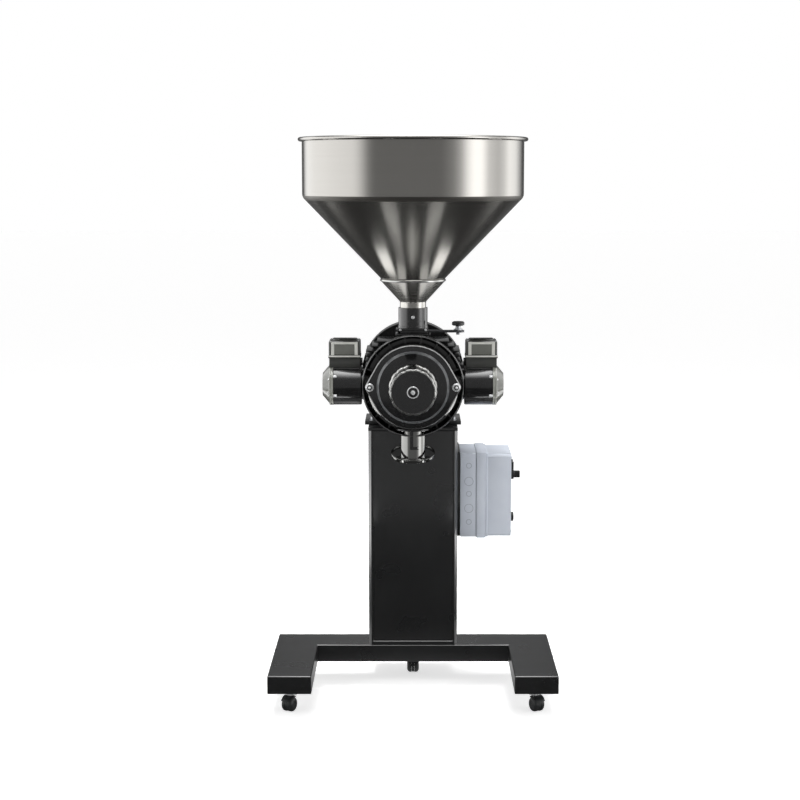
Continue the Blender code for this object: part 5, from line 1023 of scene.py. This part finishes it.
def makeControls():
    y0 = control["y0"]
    y1 = control["y1"]
    z0 = control["z0"]
    z1 = control["z1"]
    bracket = block((0.1253, y0 + 0.006, z0 + 0.004), (0.1333, y1, z1 + 0.002), 0.0015)
    piece("controlBracket", [(bracket, blackCoat)], "frame", ("control_bracket",))
    proud = control["band"]
    body = block((0.1336, y0 + proud, z0 + proud), (0.1990, y1 - proud, z1 - proud), 0.0014, 3)
    band = block((0.1801, y0, z0), (0.2056, y1, z1), 0.0010, 2)
    parts = [(body, greyPlastic), (band, greyPlastic)]
    # The knockout rings are painted a darker grey as shade of their relief; the same grey draws the joint line
    for z, radius in ((0.6217, 0.0075), (0.5765, 0.0125), (0.5408, 0.0075), (0.4988, 0.0125), (0.4596, 0.0075)):
        parts.append((knockout(radius, y0 + proud, z, 0.1585), jointAndPaintedShadeGrey))
    parts.append((block((0.1780, y0 + proud - 0.0003, z0 + proud), (0.1799, y1 - proud, z1 - proud + 0.0003),
                        0.0001, 1), jointAndPaintedShadeGrey))
    piece("controlBox", parts, "frame", ("control_box",))
    slope = control["lidSlope"]
    low = (y0 + 0.004, z0 + 0.004)
    high = (y1 - 0.004, z1 - 0.004)
    section = [(low[0], low[1] + slope * 0.7), (low[0] + slope * 0.7, low[1]), (high[0] - slope, low[1]),
               (high[0], low[1] + slope), (high[0], high[1] - slope), (high[0] - slope, high[1]),
               (low[0] + slope, high[1]), (low[0], high[1] - slope)]
    parts = [(extruded(section, 0.2059, 0.2784, "X", 0.0014, 2, 20), greyPlastic)]
    parts.append((block((0.2059, y0 + 0.0025, z0 + 0.0025), (0.2120, y1 - 0.0025, z1 - 0.0025), 0.0012, 2),
                  greyPlastic))
    for y in (y0 + 0.016, y1 - 0.016):
        for z in (z0 + 0.016, z1 - 0.016):
            parts.append((screwHead(0.0045, 0.2781, 0.0022, xAxis, (0, y, z)), greyPlastic))
    piece("controlLid", parts, "frame", ("control_lid",))

    plate = block((0.2787, 0.110, 0.572), (0.2827, 0.160, 0.622), 0.0014)
    mark = rod(0.0128, 0.2825, 0.2836, xAxis, (0, 0.135, 0.5826), 0.0004, 48)
    guards = [block((0.2820, 0.110, 0.572), (0.2888, 0.1145, 0.622), 0.0008),
              block((0.2820, 0.1555, 0.572), (0.2888, 0.160, 0.622), 0.0008)]
    parts = [(plate, blackPlastic), (mark, greyPlastic)] + [(shape, blackPlastic) for shape in guards]
    piece("switchPlate", parts, "frame", ("switch_plate",))
    dial = turned(softened([(0, 0.2665), (0.004, 0.2665), (0.004, 0.2830), (0.0102, 0.2830),
                            (0.0102, 0.2925, 0.0010), (0, 0.2925)], 3), xAxis, (0, 0.135, 0.5826), 48)
    grip = block((0.290, 0.1305, 0.5726), (0.308, 0.1395, 0.5926), 0.0020)
    piece("switchKnob", [(dial, blackPlastic), (grip, blackPlastic)], "switch",
          ("switch_knob",))
    collar = turned(softened([(0.0101, 0.2787), (0.0133, 0.2787), (0.0133, 0.2902, 0.0012),
                              (0.0101, 0.2902, 0.0006)], 4), xAxis, (0, 0.135, 0.458), 64)
    piece("buttonCollar", [(collar, blackPlastic)], "frame", ("button_collar",))
    cap = turned(softened([(0, 0.2645), (0.005, 0.2645), (0.005, 0.2822), (0.0095, 0.2822),
                           (0.0095, 0.2907, 0.0012), (0, 0.2903)], 4), xAxis, (0, 0.135, 0.458), 48)
    piece("pushButton", [(cap, greenPlastic)], "button", ("push_button",))


makeControls()
print("controls made")


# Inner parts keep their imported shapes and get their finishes
innerFinish = {"drive_shaft": machined, "rotating_disc": machined, "feed_screw": machined,
               "fixed_disc": machined, "disc_carrier": machined, "motor_bearing_front": machined,
               "motor_bearing_rear": machined, "side_motor_rotor_left": machined,
               "side_motor_rotor_right": machined, "motor_stator": copper, "cooling_fan": blackPlastic}
for nodeName, material in innerFinish.items():
    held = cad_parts[nodeName].data
    held.materials.clear()
    held.materials.append(material)


# Studio: floor, cards, lamps and camera
studio = {"world": 0.36, "floor": "#f0f0f0", "floorGlow": 0.62, "tentRadius": 3.2, "tentTop": 3.4,
          "tentStrength": 3.0, "tentFloor": 0.07, "underGlow": 0.9, "ceiling": 14.0, "ceilingReach": 3.6,
          "streak": 3.8, "leaf": 3.4, "lowCards": 4.0, "headCards": 1.3, "centre": 1.1}
# Place, target, size in metres and watts
lamps = {"topLamp": ((0, 0.5, 3.3), (0, 0.1, 0.6), (2.4, 1.6), 122),
         "leftLamp": ((-3.0, -1.8, 2.0), (0, 0, 0.9), (0.9, 2.4), 30),
         "rightLamp": ((3.0, -1.6, 2.0), (0, 0, 0.9), (0.9, 2.4), 36)}
camera = {"place": (0, -4.696, 1.434), "tilt": 7.506, "lens": 76.5, "sensor": 36, "shift": -0.01625}
# Levels round the tent: degrees from the camera's side, to the right above zero
tent = [(-180, 0.09), (-165, 0.05), (-150, 0.03), (-140, 0.50), (-133, 0.66), (-100, 0.68), (-60, 0.60),
        (-54, 0.48), (-44, 0.16), (-38, 0.10), (28, 0.10), (40, 0.17), (48, 0.34), (56, 0.80), (62, 1.0),
        (71, 1.0), (80, 0.52), (94, 0.40), (103, 0.52), (112, 0.78), (126, 0.62), (136, 0.30), (148, 0.03),
        (165, 0.05), (180, 0.09)]


def seenRays(tree):
    # One for the rays that see the studio itself: camera, glossy and transmission rays
    path = addNode(tree, "ShaderNodeLightPath")
    either = addNode(tree, "ShaderNodeMath", {"operation": "MAXIMUM"},
                     {0: path.outputs["Is Camera Ray"], 1: path.outputs["Is Glossy Ray"]})
    seen = addNode(tree, "ShaderNodeMath", {"operation": "MAXIMUM"},
                   {0: either.outputs[0], 1: path.outputs["Is Transmission Ray"]})
    return seen.outputs[0]


def makeFloor():
    shape = bmesh.new()
    bmesh.ops.create_grid(shape, x_segments=1, y_segments=1, size=40)
    mesh = bpy.data.meshes.new("floor")
    shape.to_mesh(mesh)
    shape.free()
    floor = bpy.data.objects.new("floor", mesh)
    bpy.context.scene.collection.objects.link(floor)
    made, tree, shader = newMaterial("paleFloor", studio["floor"],
                                     {"Roughness": 0.9, "Emission Color": (1, 1, 1, 1)})
    glow = addNode(tree, "ShaderNodeMath", {"operation": "MULTIPLY", 1: studio["floorGlow"]},
                   {0: seenRays(tree)})
    tree.links.new(glow.outputs[0], shader.inputs["Emission Strength"])
    mesh.materials.append(made)


def makeWorld():
    world = bpy.data.worlds.new("studio")
    bpy.context.scene.world = world
    world.use_nodes = True
    tree = world.node_tree
    background = tree.nodes["Background"]
    background.inputs["Color"].default_value = (1, 1, 1, 1)
    level = addNode(tree, "ShaderNodeMapRange", {"To Min": studio["world"], "To Max": 1.0},
                    {"Value": seenRays(tree)})
    tree.links.new(level.outputs["Result"], background.inputs["Strength"])


def reflected(name, shape, material):
    # Only reflections see this, so it shapes the highlights and lights nothing
    mesh = bpy.data.meshes.new(name)
    shape.to_mesh(mesh)
    shape.free()
    made = bpy.data.objects.new(name, mesh)
    bpy.context.scene.collection.objects.link(made)
    mesh.materials.append(material)
    made.visible_camera = False
    made.visible_diffuse = False
    made.visible_shadow = False
    made.visible_transmission = False


def glowing(name, strength):
    made, tree, shader = newMaterial(name, "#000000", {"Roughness": 1, "Specular IOR Level": 0,
                                                       "Emission Color": (1, 1, 1, 1),
                                                       "Emission Strength": strength})
    return made, tree, shader


def fading(name, low, peak, centre, reach, power):
    # Brightest at its centre and dimmer towards its reach
    made, tree, shader = glowing(name, peak)
    place = addNode(tree, "ShaderNodeTexCoord")
    shift = (-centre[0] / reach, -centre[1] / reach, 0)
    mapped = addNode(tree, "ShaderNodeMapping", {"Location": shift, "Scale": (1 / reach, 1 / reach, 0)},
                     {"Vector": place.outputs["Object"]})
    near = addNode(tree, "ShaderNodeTexGradient", {"gradient_type": "SPHERICAL"},
                   {"Vector": mapped.outputs["Vector"]})
    steep = addNode(tree, "ShaderNodeMath", {"operation": "POWER", 1: power}, {0: near.outputs["Fac"]})
    level = addNode(tree, "ShaderNodeMapRange", {"To Min": low, "To Max": peak}, {"Value": steep.outputs[0]})
    tree.links.new(level.outputs["Result"], shader.inputs["Emission Strength"])
    return made


def disc(radius, centre):
    shape = bmesh.new()
    bmesh.ops.create_circle(shape, cap_ends=True, segments=64, radius=radius, matrix=Matrix.Translation(centre))
    return shape


def makeTent():
    # A round wall whose brightness changes with the angle, open at the top
    radius = studio["tentRadius"]
    wall = bmesh.new()
    ring = [(radius * math.cos(math.radians(3 * i)),
             radius * math.sin(math.radians(3 * i))) for i in range(120)]
    low = [wall.verts.new((x, y, 0)) for x, y in ring]
    high = [wall.verts.new((x, y, studio["tentTop"])) for x, y in ring]
    for i in range(120):
        wall.faces.new((low[i], low[i - 1], high[i - 1], high[i]))
    material, tree, shader = glowing("tentWall", studio["tentStrength"])
    place = addNode(tree, "ShaderNodeTexCoord")
    mapped = addNode(tree, "ShaderNodeMapping", {"Rotation": (0, 0, math.pi / 2)},
                     {"Vector": place.outputs["Object"]})
    angle = addNode(tree, "ShaderNodeTexGradient", {"gradient_type": "RADIAL"},
                    {"Vector": mapped.outputs["Vector"]})
    ramp = addNode(tree, "ShaderNodeValToRGB", {}, {"Fac": angle.outputs["Fac"]})
    elements = ramp.color_ramp.elements
    while len(elements) < len(tent):
        elements.new(0.5)
    for element, (degrees, level) in zip(elements, tent):
        element.position = 0.5 + degrees / 360
        element.color = (level, level, level, 1)
    tree.links.new(ramp.outputs["Color"], shader.inputs["Emission Color"])
    reflected("tentWall", wall, material)

    reflected("tentFloor", disc(radius, (0, 0, 0.003)),
              fading("tentFloor", studio["tentFloor"], studio["underGlow"], (0, 0.35), 0.62, 1.0))
    reflected("tentCeiling", disc(radius + 0.1, (0, 0, studio["tentTop"])),
              fading("tentCeiling", 0.15, studio["ceiling"], (0, -0.5), studio["ceilingReach"], 3.0))


def softbox(name, centre, target, width, height, strength, turn=0):
    # A panel that glows towards its target only, then turned about the upright axis
    panel = bmesh.new()
    bmesh.ops.create_grid(panel, x_segments=1, y_segments=1, size=0.5)
    bmesh.ops.scale(panel, verts=panel.verts, vec=(width, height, 1))
    face = (Vector(target) - Vector(centre)).to_track_quat("-Z", "Y").to_matrix().to_4x4()
    face = Matrix.Rotation(math.radians(turn), 4, "Z") @ face
    bmesh.ops.transform(panel, verts=panel.verts, matrix=Matrix.Translation(centre) @ face)
    material, tree, shader = glowing(name, strength)
    facing = addNode(tree, "ShaderNodeNewGeometry")
    level = addNode(tree, "ShaderNodeMapRange", {"To Min": 0.0, "To Max": strength},
                    {"Value": facing.outputs["Backfacing"]})
    tree.links.new(level.outputs["Result"], shader.inputs["Emission Strength"])
    reflected(name, panel, material)


def lamp(name, place, target, size, power):
    data = bpy.data.lights.new(name, "AREA")
    data.shape = "RECTANGLE"
    data.size = size[0]
    data.size_y = size[1]
    data.energy = power
    made = bpy.data.objects.new(name, data)
    made.location = place
    made.rotation_euler = (Vector(target) - Vector(place)).to_track_quat("-Z", "Y").to_euler()
    made.visible_glossy = False
    bpy.context.scene.collection.objects.link(made)


def makeStudio():
    makeFloor()
    makeWorld()
    makeTent()
    for side, name in ((-1, "Left"), (1, "Right")):
        # The leaf box lies just above a terminal box; it and the streak box draw the marks on the hopper's cone
        softbox("leafBox" + name, (side * 0.184, -0.043, 0.997), (side * 0.184, -0.043, 2), 0.075, 0.105,
                studio["leaf"], -42 * side)
        softbox("streakBox" + name, (side * 0.255, -0.215, 0.48), (0, -0.2, 1.3), 0.042, 0.18, studio["streak"])
        # The low card draws the line along upright edges, the head card lights the funnel from below
        softbox("lowCard" + name, (side * 1.5, 0.60, 0.17), (0, 0.60, 0.17), 0.8, 0.30, studio["lowCards"])
        softbox("headCard" + name, (side * 0.07, -0.08, 1.035), (side * 0.07, -0.08, 2), 0.05, 0.07,
                studio["headCards"])
    # The centre card lights the middle of the hopper's underside
    softbox("centreCard", (-0.006, -0.19, 0.96), (-0.006, -0.19, 2), 0.035, 0.12, studio["centre"])
    for name, values in lamps.items():
        lamp(name, *values)
    data = bpy.data.cameras.new("camera")
    data.lens = camera["lens"]
    data.sensor_width = camera["sensor"]
    data.shift_x = camera["shift"]
    made = bpy.data.objects.new("camera", data)
    made.location = camera["place"]
    made.rotation_euler = (math.radians(90 - camera["tilt"]), 0, 0)
    bpy.context.scene.collection.objects.link(made)
    bpy.context.scene.camera = made
    bpy.context.scene.view_settings.view_transform = "Standard"


makeStudio()
print("studio made")

bpy.context.view_layer.update()
